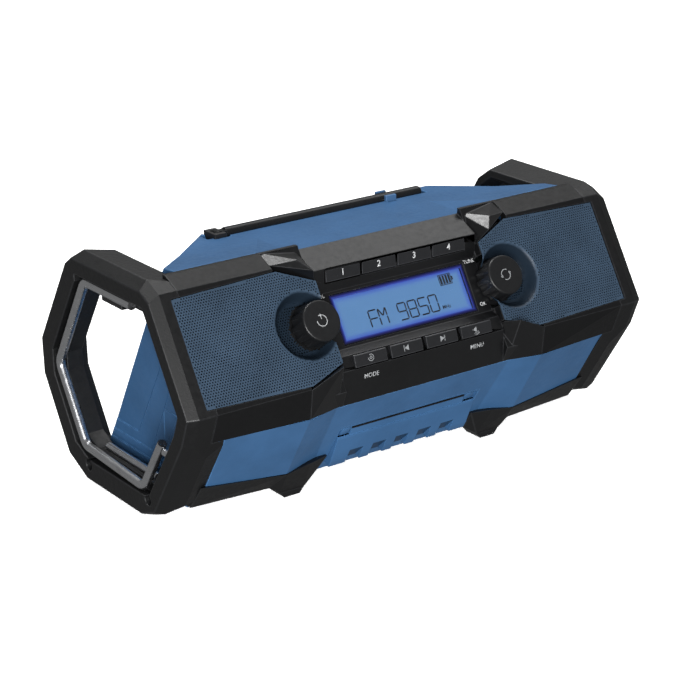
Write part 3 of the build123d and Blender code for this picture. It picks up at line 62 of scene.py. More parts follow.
# the grille's outline on the right, and the grid that is laid over it
GRILLE_OUTLINE = [(161.0, 33.5), (88.0, 36.0), (62.8, 25.0), (62.8, -27.0), (88.0, -36.0), (161.0, -33.5)]
GRILLE_ROWS, GRILLE_COLUMNS, GRILLE_MIDDLE_X, GRILLE_START_W = 50, 84, 112.0, 10
PLAIN_RIM = 0.95               # no hole nearer than this to the outline
HOLE_FACING = 0.93             # no hole where the sheet is steeper than this
WELD_GAP = 0.12
SPINDLE_HOLE_R, SPINDLE_HOLE_W = 14.6, -9.0
FORM_REACH = 90.0              # how far the pressing form's flat goes past the dish
DISH_STEPS = ((89.4, 0.0), (1.2, 0.5), (4.4, 8.0), (0.8, 0.7))      # inward, then down

# knobs: skirt, then rise and taper of each ring up to the face, and the face's own dish
KNOB_R, KNOB_SKIRT, KNOB_SKIRT_W = 14.0, 2.0, -8.0
KNOB_RINGS = ((10.0, 0.925), (0.9, 0.985), (0.45, 0.965), (0.15, 0.955))
KNOB_LIP, KNOB_DISH, KNOB_DISH_DEPTH, KNOB_EASED = 1.2, 7.0, 0.18, 0.28
FLUTES, FLUTE_R, FLUTE_REACH, FLUTE_LONG, FLUTE_W = 12, 3.6, 16.4, 13.2, -2.7
WELL_R, WELL_THICK, WELL_RIM, WELL_W, WELL_EASED = 15.4, 0.7, 10.4, -11.95, 0.15

# window border, and how far from the middle the two glows reach, in metres
BORDER_LONG, BORDER_HIGH, BORDER_WIDE, BORDER_THICK = 103.2, 31.5, 2.3, 0.06
BORDER_V, BORDER_W = -0.15, -10.45
GLOW_REACH, BORDER_REACH = (0.0505, 0.0150), (0.0516, 0.0158)

# display: characters in segments, then the unit and the charge mark
LCD_W, SEGMENT_RAISED = -12.78, 0.06
SEGMENT_HIGH, SEGMENT_WIDE, SEGMENT_THICK, SEGMENT_V = 10.6, 6.1, 0.9, -4.3
CHARACTERS = {"F": "afge", "9": "abcdfg", "8": "abcdefg", "5": "afgcd", "0": "abcdef"}
SEGMENT_GAP, UPRIGHT_GAP = 0.25, 0.35
LETTER_F_X, LETTER_M_X, LETTER_M_HALF = -24.0, -16.9, 2.9
SLANT_LONG, SLANT_ANGLE, SLANT_X, SLANT_V = 5.6, 62, 1.35, 0.2
DIGITS, FIRST_DIGIT_X, DIGIT_PITCH = "9850", -2.0, 8.1
POINT_X, POINT_LONG, POINT_HIGH, POINT_V = 10.15, 0.95, 0.9, 0.1
UNIT_SIZE, UNIT_X, UNIT_V = 3.3, 31.0, -8.3
CHARGE_V = 8.7
CHARGE_CASE = (                # length, width, angle and middle of each stroke, the nub last
    (10.2, 0.5, 0, (36.6, 12.0)), (10.2, 0.5, 0, (36.6, 5.4)),
    (7.1, 0.5, 90, (31.8, CHARGE_V)), (7.1, 0.5, 90, (41.2, CHARGE_V)),
    (3.4, 1.0, 90, (42.1, CHARGE_V)),
)
CHARGE_CELLS, CELL_X, CELL_PITCH, CELL_LONG, CELL_WIDE = 4, 33.2, 2.2, 7.2, 1.55

# printed marks: upper and lower end of each row's key faces, as V and W
KEY_FACES = {"preset": ((30.3, -1.2), (23.2, -4.9)), "function": ((-24.0, -2.6), (-31.7, -4.6))}
PRINT_RAISED, PRINT_LIFT, PRINT_BOLD, DIGIT_SIZE = 0.05, 0.01, 0.012, 5.6
POWER_MARK_W, TURN_MARK_W = 4.36, 4.38
LABEL_SIZE, LABEL_W = 3.3, -10.06
LABELS = ((-57.6, 16.1, "VOL"), (57.2, 16.0, "TUNE"), (57.2, -12.6, "OK"))
LOW_LABEL_SIZE, LOW_LABEL_V, LOW_LABEL_W = 3.9, -37.6, -8.77
LOW_LABELS = ((-41.0, "MODE"), (41.0, "MENU"))
LOW_STRIP = ((-32.3, -5.4), (-50.6, -17.1))
ARC_STEPS, BAR_TIP = 28, 0.08

# hatch hinge, in the lower slant's frame: limits across, up and out
EAR_INNER_X, EAR_OUTER_X, EAR_V, EAR_W = 45.5, 52.1, (-0.9, 5.2), (-6.5, -0.4)
# the dark strip along the hatch's upper edge stands for the shaded gap there: painted shade
GAP_SHADE_LIMITS = ((-44.3, 44.3), (3.2, 4.3), (-1.4, -0.42))
EAR_EASED, GAP_SHADE_EASED = 0.4, 0.15
# faces deeper than this in the hinge's trough are painted dark as painted shade
TROUGH_DEPTH = -1.7
# the scallops' floors between these heights, facing down, are painted a darker blue as painted shade
SCALLOP_HEIGHTS, SCALLOP_DOWN, SCALLOP_TURN = (0.0, 3.6), -0.62, 0.2

# camera: where it stands, its angles in degrees, its sensor, and its focal length against the view's width
CAMERA_PLACE = (-0.72626, -1.01660, 0.52672)
CAMERA_AZIMUTH, CAMERA_ELEVATION, CAMERA_ROLL = -35.28, 20.0, -0.93
SENSOR, FOCAL_LENGTH, VIEW_WIDTH = 36.0, 2053.5, 680.0

# light: name, place, aim, size and watts of each soft box
SOFT_BOXES = (
    ("top_softbox", (0.0, 0.62, 1.5), (0, 0, 0.1), (0.6, 0.45), 19),
    ("right_softbox", (0.95, 0.35, 1.4), (0, 0, 0.1), (0.8, 0.8), 5),
    ("key_light", (-1.2, -1.8, 0.5), (0, 0, 0.08), (0.9, 0.9), 74),
)
AIR_STRENGTH, SUN_STRENGTH, SUN_SPREAD = 0.21, 0.42, 50
SUN_PLACE, SUN_FROM = (0.1, 0.6, 2.0), (0.1, 0.38, 0.92)
FLOOR_SIZE, FLOOR_Z = 60.0, -0.0002

# edges: how far each node's are eased
EASED = {
    "left_bumper_ring": 0.7, "right_bumper_ring": 0.7, "left_base_bumper": 0.6, "right_base_bumper": 0.6,
    "console_fascia": 0.35, "left_speaker_frame": 0.4, "right_speaker_frame": 0.4,
    "front_lower_housing": 0.4, "rear_housing": 0.6, "accessory_tub": 0.3, "hinge_carrier": 0.3,
    "top_cover": 0.5, "accessory_hatch": 0.45,
    "rubber_feet": 0.5, "hook_bracket": 0.3, "antenna_base": 0.3, "antenna_clip": 0.3, "antenna": 0.3,
    "battery_case": 0.7, "battery_release": 0.5, "battery_bay": 0.4, "connection_panel": 0.3,
    "hanging_hook": 0.35, "lower_tie_rod": 0.3, "hook_keeper_pin": 0.4, "hatch_pin": 0.2,
    "aux_socket": 0.2, "power_inlet": 0.2, "usb_socket": 0.15, "battery_terminals": 0.1,
    "volume_shaft": 0.2, "tuning_shaft": 0.2,
}
KEY_EASED = 0.35
FLAT_SIDED = ("bumper", "housing", "cover", "frame", "fascia", "hatch", "key_", "tub", "carrier")
FLAT_CREASE, ROUND_CREASE = 4.0, 34.0      # degrees up to which faces shade as one
EDGE_ANGLE, LEFT_RING_ANGLE = 28.0, 35.0   # degrees from which an edge is eased
SEAM = 0.00001                             # metres, for corners that should be one
FLATNESS = 0.6                             # degrees, for faces that should be one
SHEET_CREASE, BLOCK_ANGLE, KNOB_CREASE, KNOB_ANGLE = 62, 40, 36, 38

FACE = Matrix(((1, 0, 0, 0),
               (0, math.sin(LEAN), -math.cos(LEAN), FACE_Y * MM),
               (0, math.cos(LEAN), math.sin(LEAN), FACE_Z * MM),
               (0, 0, 0, 1)))


def slant_frame():
    """Frame at the middle of the lower slant: X across, Y up along it, Z out of it."""
    (y0, z0), (y1, z1) = CHIN_TOP, CHIN_LOW
    up_y, up_z = (y0 - y1) / CHIN_LONG, (z0 - z1) / CHIN_LONG
    middle = Matrix.Translation(Vector((0, (y0 + y1) / 2, (z0 + z1) / 2)) * MM)
    return middle @ Matrix(((1, 0, 0, 0), (0, up_y, -up_z, 0), (0, up_z, up_y, 0), (0, 0, 0, 1)))


def tilted(x, v, w, slope=0.0):
    """A place on the leaning face, turned about X by a slope in degrees."""
    spot = Matrix.Translation((x * MM, v * MM, w * MM))
    return FACE @ spot @ Matrix.Rotation(math.radians(slope), 4, "X")


def slope_of(high, low):
    """Slope in degrees between two ends, each given as V and W."""
    return math.degrees(math.atan2(high[1] - low[1], high[0] - low[0]))


# ---- bench tools ----
def pick(*pieces):
    """Deselects everything, then selects these; the last one becomes active."""
    if bpy.context.object and bpy.context.object.mode != "OBJECT":
        bpy.ops.object.mode_set(mode="OBJECT")
    bpy.ops.object.select_all(action="DESELECT")
    for piece in pieces:
        piece.select_set(True)
    bpy.context.view_layer.objects.active = pieces[-1]


def into_edit(piece, kind="VERT", whole=False):
    """Opens a piece for editing, with all of it selected or nothing."""
    pick(piece)
    bpy.ops.object.mode_set(mode="EDIT")
    bpy.ops.mesh.select_mode(type=kind)
    bpy.ops.mesh.select_all(action="SELECT" if whole else "DESELECT")


def choose(piece, faces=None, verts=None, kind="FACE"):
    """Selects by place: a test on each face or each corner."""
    bpy.ops.object.mode_set(mode="OBJECT")
    for part in (piece.data.vertices, piece.data.edges, piece.data.polygons):
        part.foreach_set("select", [False] * len(part))
    if faces:
        for face in piece.data.polygons:
            face.select = bool(faces(face))
    if verts:
        for corner in piece.data.vertices:
            corner.select = bool(verts(corner.co))
        bpy.context.tool_settings.mesh_select_mode = (True, False, False)
    bpy.ops.object.mode_set(mode="EDIT")
    bpy.ops.mesh.select_mode(type=kind)


def out_of_edit():
    """Closes the piece that is being edited."""
    bpy.ops.object.mode_set(mode="OBJECT")


def add_modifier(piece, kind, **values):
    """Adds one modifier with its settings."""
    modifier = piece.modifiers.new(kind.lower(), kind)
    for name, value in values.items():
        setattr(modifier, name, value)


def set_modifiers(piece):
    """Applies all of a piece's modifiers."""
    pick(piece)
    for modifier in list(piece.modifiers):
        bpy.ops.object.modifier_apply(modifier=modifier.name)


def settle(piece, place=None):
    """Puts the piece's place into its mesh."""
    if place is not None:
        piece.matrix_world = place @ piece.matrix_world
    pick(piece)
    bpy.ops.object.transform_apply(location=True, rotation=True, scale=True)


def paint(piece, *finishes):
    """Gives the piece these finishes and no others."""
    piece.data.materials.clear()
    for finish in finishes:
        piece.data.materials.append(finish)


def smooth(piece, degrees):
    """Shades faces as one where they meet at less than this angle."""
    pick(piece)
    bpy.ops.object.shade_smooth_by_angle(angle=math.radians(degrees), keep_sharp_edges=False)


def even_shading(piece):
    """Weighs the normals by face size, so broad faces shade flat."""
    add_modifier(piece, "WEIGHTED_NORMAL", keep_sharp=True, weight=60)
    set_modifiers(piece)


def face_up(piece):
    """Turns every face of a flat mark the same way, upwards."""
    into_edit(piece, "FACE")
    choose(piece, faces=lambda face: face.normal.z < 0)
    bpy.ops.mesh.flip_normals()
    out_of_edit()


def join(pieces, name):
    """Makes several pieces one."""
    pick(*pieces)
    bpy.ops.object.join()
    piece = bpy.context.object
    piece.name = name
    return piece


# ---- finishes ----
class Finish:
    """A node-built finish for one kind of surface."""

    def __init__(self, name):
        self.paint = bpy.data.materials.new(name)
        self.paint.use_nodes = True
        self.tree = self.paint.node_tree
        self.shader = self.tree.nodes["Principled BSDF"]
        self.place = self.add("ShaderNodeTexCoord").outputs["Object"]

    def add(self, kind, **values):
        """One node with its settings."""
        node = self.tree.nodes.new(kind)
        for name, value in values.items():
            setattr(node, name, value)
        return node

    def link(self, source, target):
        self.tree.links.new(source, target)

    def noise(self, scale, detail=3.0, rough=0.55, stretch=None):
        """Noise over the surface, drawn out where a stretch is given."""
        source = self.place
        if stretch is not None:
            mapping = self.add("ShaderNodeMapping")
            mapping.inputs["Scale"].default_value = stretch
            self.link(self.place, mapping.inputs["Vector"])
            source = mapping.outputs["Vector"]
        node = self.add("ShaderNodeTexNoise")
        node.inputs["Scale"].default_value = scale
        node.inputs["Detail"].default_value = detail
        node.inputs["Roughness"].default_value = rough
        self.link(source, node.inputs["Vector"])
        return node.outputs["Fac"]

    def ramp(self, source, *stops):
        """Colours by a value, each stop a spot and a colour."""
        node = self.add("ShaderNodeValToRGB")
        ramp = node.color_ramp
        while len(ramp.elements) < len(stops):
            ramp.elements.new(0.5)
        for element, (spot, colour) in zip(ramp.elements, stops):
            element.position = spot
            element.color = (*colour, 1.0)
        self.link(source, node.inputs["Fac"])
        return node.outputs["Color"]

    def spread(self, source, low, high, a=0.3, b=0.7):
        """A value from a to b laid out from low to high."""
        node = self.add("ShaderNodeMapRange")
        for name, value in (("From Min", a), ("From Max", b), ("To Min", low), ("To Max", high)):
            node.inputs[name].default_value = value
        self.link(source, node.inputs["Value"])
        return node.outputs["Result"]

    def mix(self, amount, first, second):
        """Two colours blended by an amount; each is a colour or a node's output."""
        node = self.add("ShaderNodeMix", data_type="RGBA", blend_type="MIX")
        self.link(amount, node.inputs["Factor"])
        slots = [s for s in node.inputs if s.type == "RGBA"]
        for socket, value in zip(slots, (first, second)):
            if isinstance(value, tuple):
                socket.default_value = (*value, 1.0)
            else:
                self.link(value, socket)
        return [s for s in node.outputs if s.type == "RGBA"][0]

    def bump(self, source, strength, distance):
        """Fine relief in the shading only."""
        node = self.add("ShaderNodeBump")
        node.inputs["Strength"].default_value = strength
        node.inputs["Distance"].default_value = distance
        self.link(source, node.inputs["Height"])
        self.link(node.outputs["Normal"], self.shader.inputs["Normal"])

    def set(self, **values):
        """Plain values of the shader, named with underscores for spaces."""
        for name, value in values.items():
            self.shader.inputs[name.replace("_", " ")].default_value = value


def tone(colour, gain):
    """The same colour, lighter or darker."""
    return tuple(min(1.0, c * gain) for c in colour)


def moulded(name, colour, rough=(0.42, 0.58), grain=1500.0, depth=0.00012, strength=0.35, rub=0.10,
            gloss=0.38):
    """Spark-textured moulding: fine grain, faint flow mottling and rubbed patches."""
    finish = Finish(name)
    mottle = finish.noise(26.0, 4.0, 0.6)
    base = finish.ramp(mottle, (0.30, tone(colour, 0.88)), (0.70, tone(colour, 1.12)))
    rubbed = finish.noise(75.0, 5.0, 0.7, (1.0, 1.0, 0.35))
    patches = finish.spread(rubbed, 0.0, rub, 0.56, 0.80)
    worn = finish.mix(patches, base, tone(colour, 2.2))
    finish.link(worn, finish.shader.inputs["Base Color"])
    grit = finish.noise(grain, 2.0, 0.5)
    finish.link(finish.spread(finish.noise(320.0, 3.0), *rough), finish.shader.inputs["Roughness"])
    finish.bump(grit, strength, depth)
    finish.set(Specular_IOR_Level=gloss)
    return finish.paint


def rubbed_edge(name, colour, rough=0.36, gloss=0.38):
    """The same moulding, lighter along its eased edges: a painted highlight on the chamfers."""
    finish = Finish(name)
    highlight_mottle = finish.noise(140.0, 4.0, 0.65)
    base = finish.ramp(highlight_mottle, (0.32, tone(colour, 0.85)), (0.68, tone(colour, 1.35)))
    finish.link(base, finish.shader.inputs["Base Color"])
    sheen = finish.spread(finish.noise(500.0), rough - 0.06, rough + 0.1)
    finish.link(sheen, finish.shader.inputs["Roughness"])
    finish.set(Specular_IOR_Level=gloss)
    return finish.paint


def bright_steel(name, colour, rough, along=(1.0, 0.06, 1.0)):
    """Drawn bar: lengthwise draw lines and a few dull spots."""
    finish = Finish(name)
    lines = finish.noise(350.0, 3.0, 0.5, along)
    spots = finish.noise(120.0, 5.0, 0.6)
    base = finish.mix(finish.spread(spots, 0.0, 0.5, 0.55, 0.75), colour, tone(colour, 0.55))
    finish.link(base, finish.shader.inputs["Base Color"])
    finish.link(finish.spread(lines, *rough), finish.shader.inputs["Roughness"])
    finish.bump(lines, 0.02, 0.00005)
    finish.set(Metallic=1.0)
    return finish.paint


def face_parts(finish):
    """Coordinates in the leaning face's own frame."""
    placing = finish.add("ShaderNodeMapping")
    placing.inputs["Location"].default_value = (0.0, -FACE_Y * MM, -FACE_Z * MM)
    finish.link(finish.place, placing.inputs["Vector"])
    leaning = finish.add("ShaderNodeVectorRotate", rotation_type="X_AXIS")
    leaning.inputs["Angle"].default_value = LEAN - math.pi / 2
    finish.link(placing.outputs["Vector"], leaning.inputs["Vector"])
    parts = finish.add("ShaderNodeSeparateXYZ")
    finish.link(leaning.outputs["Vector"], parts.inputs["Vector"])
    return parts


def edge_depth(finish, half_x, half_y):
    """How far a spot lies inside a centred rectangle on the face."""
    parts = face_parts(finish)
    sides = []
    for socket, half in (("X", half_x), ("Y", half_y)):
        size = finish.add("ShaderNodeMath", operation="ABSOLUTE")
        finish.link(parts.outputs[socket], size.inputs[0])
        rest = finish.add("ShaderNodeMath", operation="SUBTRACT")
        rest.inputs[0].default_value = half
        finish.link(size.outputs[0], rest.inputs[1])
        sides.append(rest.outputs[0])
    nearest = finish.add("ShaderNodeMath", operation="MINIMUM")
    finish.link(sides[0], nearest.inputs[0])
    finish.link(sides[1], nearest.inputs[1])
    return nearest.outputs[0]


def grille_coat(name, colour):
    """The grille's paint, darker and less glossy down in the dish: painted shade on the dish's unpunched
    wall.
    """
    finish = Finish(name)
    base = finish.ramp(finish.noise(38.0, 4.0), (0.3, tone(colour, 0.86)), (0.7, tone(colour, 1.14)))
    depth = face_parts(finish).outputs["Z"]
    painted_shade_level = finish.spread(depth, 0.0, 1.0, (GRILLE_TOP_W - 1.6) * MM, (GRILLE_TOP_W - 0.2) * MM)
    # down in the dish the colour falls to 0.30 of the paint's and the gloss drops: painted shade
    finish.link(finish.mix(painted_shade_level, tone(colour, 0.30), base), finish.shader.inputs["Base Color"])
    finish.link(finish.spread(painted_shade_level, 0.06, 0.30, 0.0, 1.0), finish.shader.inputs["Specular IOR Level"])
    finish.link(finish.spread(finish.noise(700.0), 0.38, 0.5), finish.shader.inputs["Roughness"])
    finish.bump(finish.noise(1200.0, 2.0), 0.15, 0.0001)
    return finish.paint


def coated_sheet(name, colour, rough):
    """Stoved paint on steel: fine orange peel and lighter high spots."""
    finish = Finish(name)
    base = finish.ramp(finish.noise(38.0, 4.0), (0.3, tone(colour, 0.86)), (0.7, tone(colour, 1.14)))
    fleck = finish.spread(finish.noise(2200.0, 1.0), 0.0, 0.35, 0.6, 0.8)
    finish.link(finish.mix(fleck, base, tone(colour, 1.8)), finish.shader.inputs["Base Color"])
    finish.link(finish.spread(finish.noise(700.0), *rough), finish.shader.inputs["Roughness"])
    finish.bump(finish.noise(1200.0, 2.0), 0.15, 0.0001)
    finish.set(Metallic=0.1, Specular_IOR_Level=0.3)
    return finish.paint


def window_sheet():
    """Clear window with a faint haze from wiping."""
    finish = Finish("clear_window")
    haze = finish.noise(60.0, 5.0, 0.7, (1.0, 0.25, 1.0))
    finish.link(finish.spread(haze, 0.0, 0.012), finish.shader.inputs["Roughness"])
    finish.set(Base_Color=(0.97, 0.98, 1.0, 1.0), Transmission_Weight=1.0, IOR=1.46,
               Specular_IOR_Level=0.2)
    return finish.paint


def display_glow():
    """Backlit display: even light blue, deeper towards its border, faintly clouded."""
    finish = Finish("backlit_display")
    depth = finish.spread(edge_depth(finish, *GLOW_REACH), 0.0, 1.0, 0.0, 0.006)
    glow = finish.ramp(depth, (0.0, (0.020, 0.035, 0.42)), (0.28, (0.06, 0.13, 0.60)),
                       (0.75, (0.118, 0.268, 0.56)), (1.0, (0.122, 0.280, 0.545)))
    cloud = finish.spread(finish.noise(45.0, 2.0), 0.0, 0.14)
    finish.link(finish.mix(cloud, glow, (0.16, 0.33, 0.60)), finish.shader.inputs["Emission Color"])
    finish.set(Base_Color=(0.01, 0.02, 0.04, 1.0), Roughness=0.5, Specular_IOR_Level=0.1,
               Emission_Strength=0.86)
    return finish.paint


def border_glow():
    """Smoked border of the window, lit from behind along its inner edge."""
    finish = Finish("lit_border")
    depth = finish.spread(edge_depth(finish, *BORDER_REACH), 0.0, 1.0, 0.0, 0.0024)
    glow = finish.ramp(depth, (0.0, (0.001, 0.001, 0.004)), (0.45, (0.008, 0.010, 0.10)),
                       (1.0, (0.045, 0.075, 0.46)))
    finish.link(glow, finish.shader.inputs["Emission Color"])
    finish.set(Base_Color=(0.004, 0.004, 0.006, 1.0), Roughness=0.4, Specular_IOR_Level=0.2,
               Emission_Strength=0.86)
    return finish.paint


def print_ink(name, colour):
    """Pad-printed ink: slightly broken edge tone."""
    finish = Finish(name)
    speck = finish.noise(2600.0, 2.0)
    base = finish.ramp(speck, (0.25, tone(colour, 0.72)), (0.6, colour))
    finish.link(base, finish.shader.inputs["Base Color"])
    finish.set(Roughness=0.5)
    return finish.paint


def soft_paper():
    """Pressed paper with its fibres."""
    finish = Finish("pressed_paper_cone")
    fibre = finish.noise(420.0, 5.0, 0.7, (1.0, 3.0, 1.0))
    base = finish.ramp(fibre, (0.3, (0.018, 0.018, 0.019)), (0.7, (0.05, 0.05, 0.052)))
    finish.link(base, finish.shader.inputs["Base Color"])
    finish.bump(fibre, 0.5, 0.0003)
    finish.set(Roughness=0.85)
    return finish.paint


def circuit_board():
    """Dark board with faint tracks."""
    finish = Finish("circuit_board_black")
    tracks = finish.add("ShaderNodeTexVoronoi", feature="DISTANCE_TO_EDGE")
    tracks.inputs["Scale"].default_value = 190.0
    finish.link(finish.place, tracks.inputs["Vector"])
    base = finish.ramp(tracks.outputs["Distance"], (0.04, (0.012, 0.015, 0.014)),
                       (0.09, (0.004, 0.005, 0.005)))
    finish.link(base, finish.shader.inputs["Base Color"])
    finish.set(Roughness=0.35)
    return finish.paint


BUMPER = (0.0042, 0.0044, 0.0048)
DARK = (0.0048, 0.0050, 0.0055)
BLUE = (0.039, 0.105, 0.224)
# each look's second finish goes on the eased edges; where it is lighter than the first, it is a painted
# highlight along the chamfers
FINISHES = {
    "bumper_rubber": (moulded("bumper_elastomer", BUMPER, (0.42, 0.56), 1100.0, 0.00016, 0.45, 0.06,
                              0.34),
                      rubbed_edge("bumper_edge", (0.0100, 0.0104, 0.0115), 0.40)),
    "dark_shell": (moulded("dark_moulding", DARK, (0.29, 0.40)),
                   rubbed_edge("dark_edge", (0.0150, 0.0155, 0.0170), 0.34, 0.45)),
    "frame_shell": (moulded("frame_moulding", tone(DARK, 0.72), (0.42, 0.54), gloss=0.24),
                    rubbed_edge("frame_edge", (0.0105, 0.0110, 0.0120), 0.42, 0.30)),
    "blue_shell": (moulded("blue_moulding", BLUE, (0.34, 0.46), 1500.0, 0.00010, 0.30, 0.05, 0.14),
                   rubbed_edge("blue_edge", (0.050, 0.130, 0.270), 0.34, 0.16)),
    "knob_black": (moulded("knob_moulding", (0.0075, 0.0078, 0.0085), (0.34, 0.44), 1900.0, 0.00008,
                           0.25),
                   rubbed_edge("knob_edge", (0.0110, 0.0115, 0.0125), 0.36, 0.4)),
    "key_grey": (moulded("key_silicone", (0.0110, 0.0115, 0.0130), (0.36, 0.46), 2100.0, 0.00007, 0.2,
                         0.05, 0.40),
                 rubbed_edge("key_edge", (0.0280, 0.0290, 0.0320), 0.28, 0.5)),
    "pack_black": (moulded("pack_moulding", (0.009, 0.0095, 0.0105)),
                   rubbed_edge("pack_edge", (0.018, 0.019, 0.021))),
    "release_blue": (moulded("blue_button", (0.040, 0.098, 0.200)),
                     rubbed_edge("blue_button_edge", (0.05, 0.12, 0.24))),
    "switch_black": (moulded("small_black_moulding", (0.008, 0.008, 0.0088)),
                     rubbed_edge("small_black_edge", (0.016, 0.016, 0.018))),
    "grille_black": (grille_coat("grille_coat", (0.034, 0.058, 0.092)),
                     grille_coat("grille_coat_rim", (0.014, 0.022, 0.034))),
    "dark_steel": (coated_sheet("black_steel_coat", (0.0075, 0.0080, 0.0088), (0.26, 0.36)),
                   coated_sheet("black_steel_edge", (0.016, 0.017, 0.018), (0.24, 0.34))),
    "steel": (bright_steel("turned_steel", (0.50, 0.51, 0.52), (0.28, 0.42), (1.0, 1.0, 0.2)),
              bright_steel("turned_steel_edge", (0.66, 0.67, 0.68), (0.2, 0.3), (1.0, 1.0, 0.2))),
    "chrome": (bright_steel("bright_bar_steel", (0.62, 0.63, 0.65), (0.22, 0.32)),
               bright_steel("bright_bar_edge", (0.6, 0.61, 0.63), (0.2, 0.3))),
    "brass": (bright_steel("contact_brass", (0.60, 0.43, 0.18), (0.25, 0.4)),
              bright_steel("contact_brass_edge", (0.8, 0.6, 0.3), (0.22, 0.32))),
    "lens_clear": (window_sheet(), window_sheet()),
    "lcd": (display_glow(), display_glow()),
    "board": (circuit_board(), circuit_board()),
    "cone_paper": (soft_paper(), soft_paper()),
}
WHITE_INK = print_ink("white_print", (0.66, 0.67, 0.68))
PALE_INK = print_ink("pale_print", (0.42, 0.43, 0.44))
GREY_INK = print_ink("grey_print", (0.27, 0.28, 0.29))
SEGMENT_INK = print_ink("display_segment", (0.003, 0.004, 0.009))

RECORD = frame["record"]
SLOT_OF = {entry["node"]: entry["material_slot"] for entry in RECORD["subparts"]}
LOOK_OF = {**SLOT_OF, "left_speaker_frame": "frame_shell", "right_speaker_frame": "frame_shell"}
BODY_OF = {node: body for body, nodes in RECORD["behaviour"]["bodies"].items() for node in nodes}


# ---- the mouldings, softened along their edges ----
def softened(node, width, crease, angle):
    """A node's own shape with its edges eased and its skin shaded evenly."""
    piece = bpy.data.objects.new(node + "_dressed", frame["nodes"][node].data.copy())
    bpy.context.scene.collection.objects.link(piece)
    paint(piece, *FINISHES[LOOK_OF[node]])
    into_edit(piece, whole=True)
    bpy.ops.mesh.remove_doubles(threshold=SEAM)
    bpy.ops.mesh.dissolve_degenerate(threshold=SEAM * 2)
    bpy.ops.mesh.dissolve_limited(angle_limit=math.radians(FLATNESS))
    out_of_edit()
    piece.data.polygons.foreach_set("material_index", [0] * len(piece.data.polygons))
    # the eased edges take the second, lighter finish: a painted highlight along them
    add_modifier(piece, "BEVEL", width=width * MM, segments=2, limit_method="ANGLE",
                 angle_limit=math.radians(angle), use_clamp_overlap=False, miter_outer="MITER_ARC",
                 material=1, profile=0.6, loop_slide=True)
    set_modifiers(piece)
    smooth(piece, crease)
    even_shading(piece)
    # nodes listed below get painted shade: their deep faces take a darker third finish
    if node in PAINTED_SHADE_FACES:
        depth, finish = PAINTED_SHADE_FACES[node]
        paint(piece, *FINISHES[LOOK_OF[node]], finish)
        into_edit(piece, "FACE")
        choose(piece, faces=depth)
        piece.active_material_index = 2
        bpy.ops.object.material_slot_assign()
        out_of_edit()
    finish_node(piece, node)


def chin_height(point):
    """Height over the lower slant's own plane."""
    (y0, z0), (y1, z1) = CHIN_TOP, CHIN_LOW
    return ((point.y / MM - y0) * (z1 - z0) - (point.z / MM - z0) * (y1 - y0)) / CHIN_LONG


def in_trough(face):
    """Inside the hinge's trough, whose faces are painted dark: painted shade in the deep slot."""
    return chin_height(face.center) < TROUGH_DEPTH


def in_scallop(face):
    """The sloping floors of the hatch's finger scallops, painted a darker blue: painted shade."""
    low, high = SCALLOP_HEIGHTS
    facing_down = face.normal.z < SCALLOP_DOWN and abs(face.normal.x) < SCALLOP_TURN
    return facing_down and low < chin_height(face.center) < high


# faces painted darker as painted shade: the hinge's deep trough and the scallops' floors
PAINTED_SHADE_FACES = {
    "hinge_carrier": (in_trough, FINISHES["dark_shell"][0]),
    "accessory_hatch": (in_scallop, moulded("blue_moulding_painted_shade", tone(BLUE, 0.42), (0.40, 0.52),
                                            1500.0, 0.00010, 0.3, 0.04, 0.1)),
}


def finish_node(piece, *nodes):
    """A piece that takes the place of nodes on one body."""
    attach(piece, BODY_OF[nodes[0]])
    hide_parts(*nodes)


def ride_on(piece, node):
    """An added piece that moves with a node."""
    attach(piece, BODY_OF[node])


def soften_mouldings():
    """Dresses every node whose own shape is kept."""
    eased = dict(EASED)
    for row in KEY_PITCHES:
        for index in range(1, KEYS_IN_ROW + 1):
            eased[f"{row}_key_{index}"] = KEY_EASED
    for node, width in eased.items():
        flat = node != "hatch_pin" and any(word in node for word in FLAT_SIDED)
        angle = LEFT_RING_ANGLE if node == "left_bumper_ring" else EDGE_ANGLE
        softened(node, width, FLAT_CREASE if flat else ROUND_CREASE, angle)


# ---- perforated grilles ----
def outline_sides(side):
    """The sides of one grille's outline, each as its two ends in millimetres."""
    corners = [(side * x, v) for x, v in GRILLE_OUTLINE]
    return list(zip(corners, corners[1:] + corners[:1]))


def rim_distance(sides, spot):
    """How far a spot is from the nearest side, in millimetres."""
    return min(abs((bx - ax) * (ay - spot.y) - (ax - spot.x) * (by - ay)) / math.hypot(bx - ax, by - ay)
               for (ax, ay), (bx, by) in sides)


def dish_form(side):
    """Pressing form: the flat face with the round dish by the knob."""
    bpy.ops.mesh.primitive_circle_add(vertices=96, radius=(DISH_R + FORM_REACH) * MM, fill_type="NGON",
                                      location=(side * DISH_X * MM, 0, GRILLE_TOP_W * MM))
    form = bpy.context.object
    settle(form)
    into_edit(form, "FACE", whole=True)
    for step, drop in DISH_STEPS:
        bpy.ops.mesh.inset(thickness=step * MM)
        bpy.ops.transform.translate(value=(0, 0, -drop * MM))
    out_of_edit()
    return form


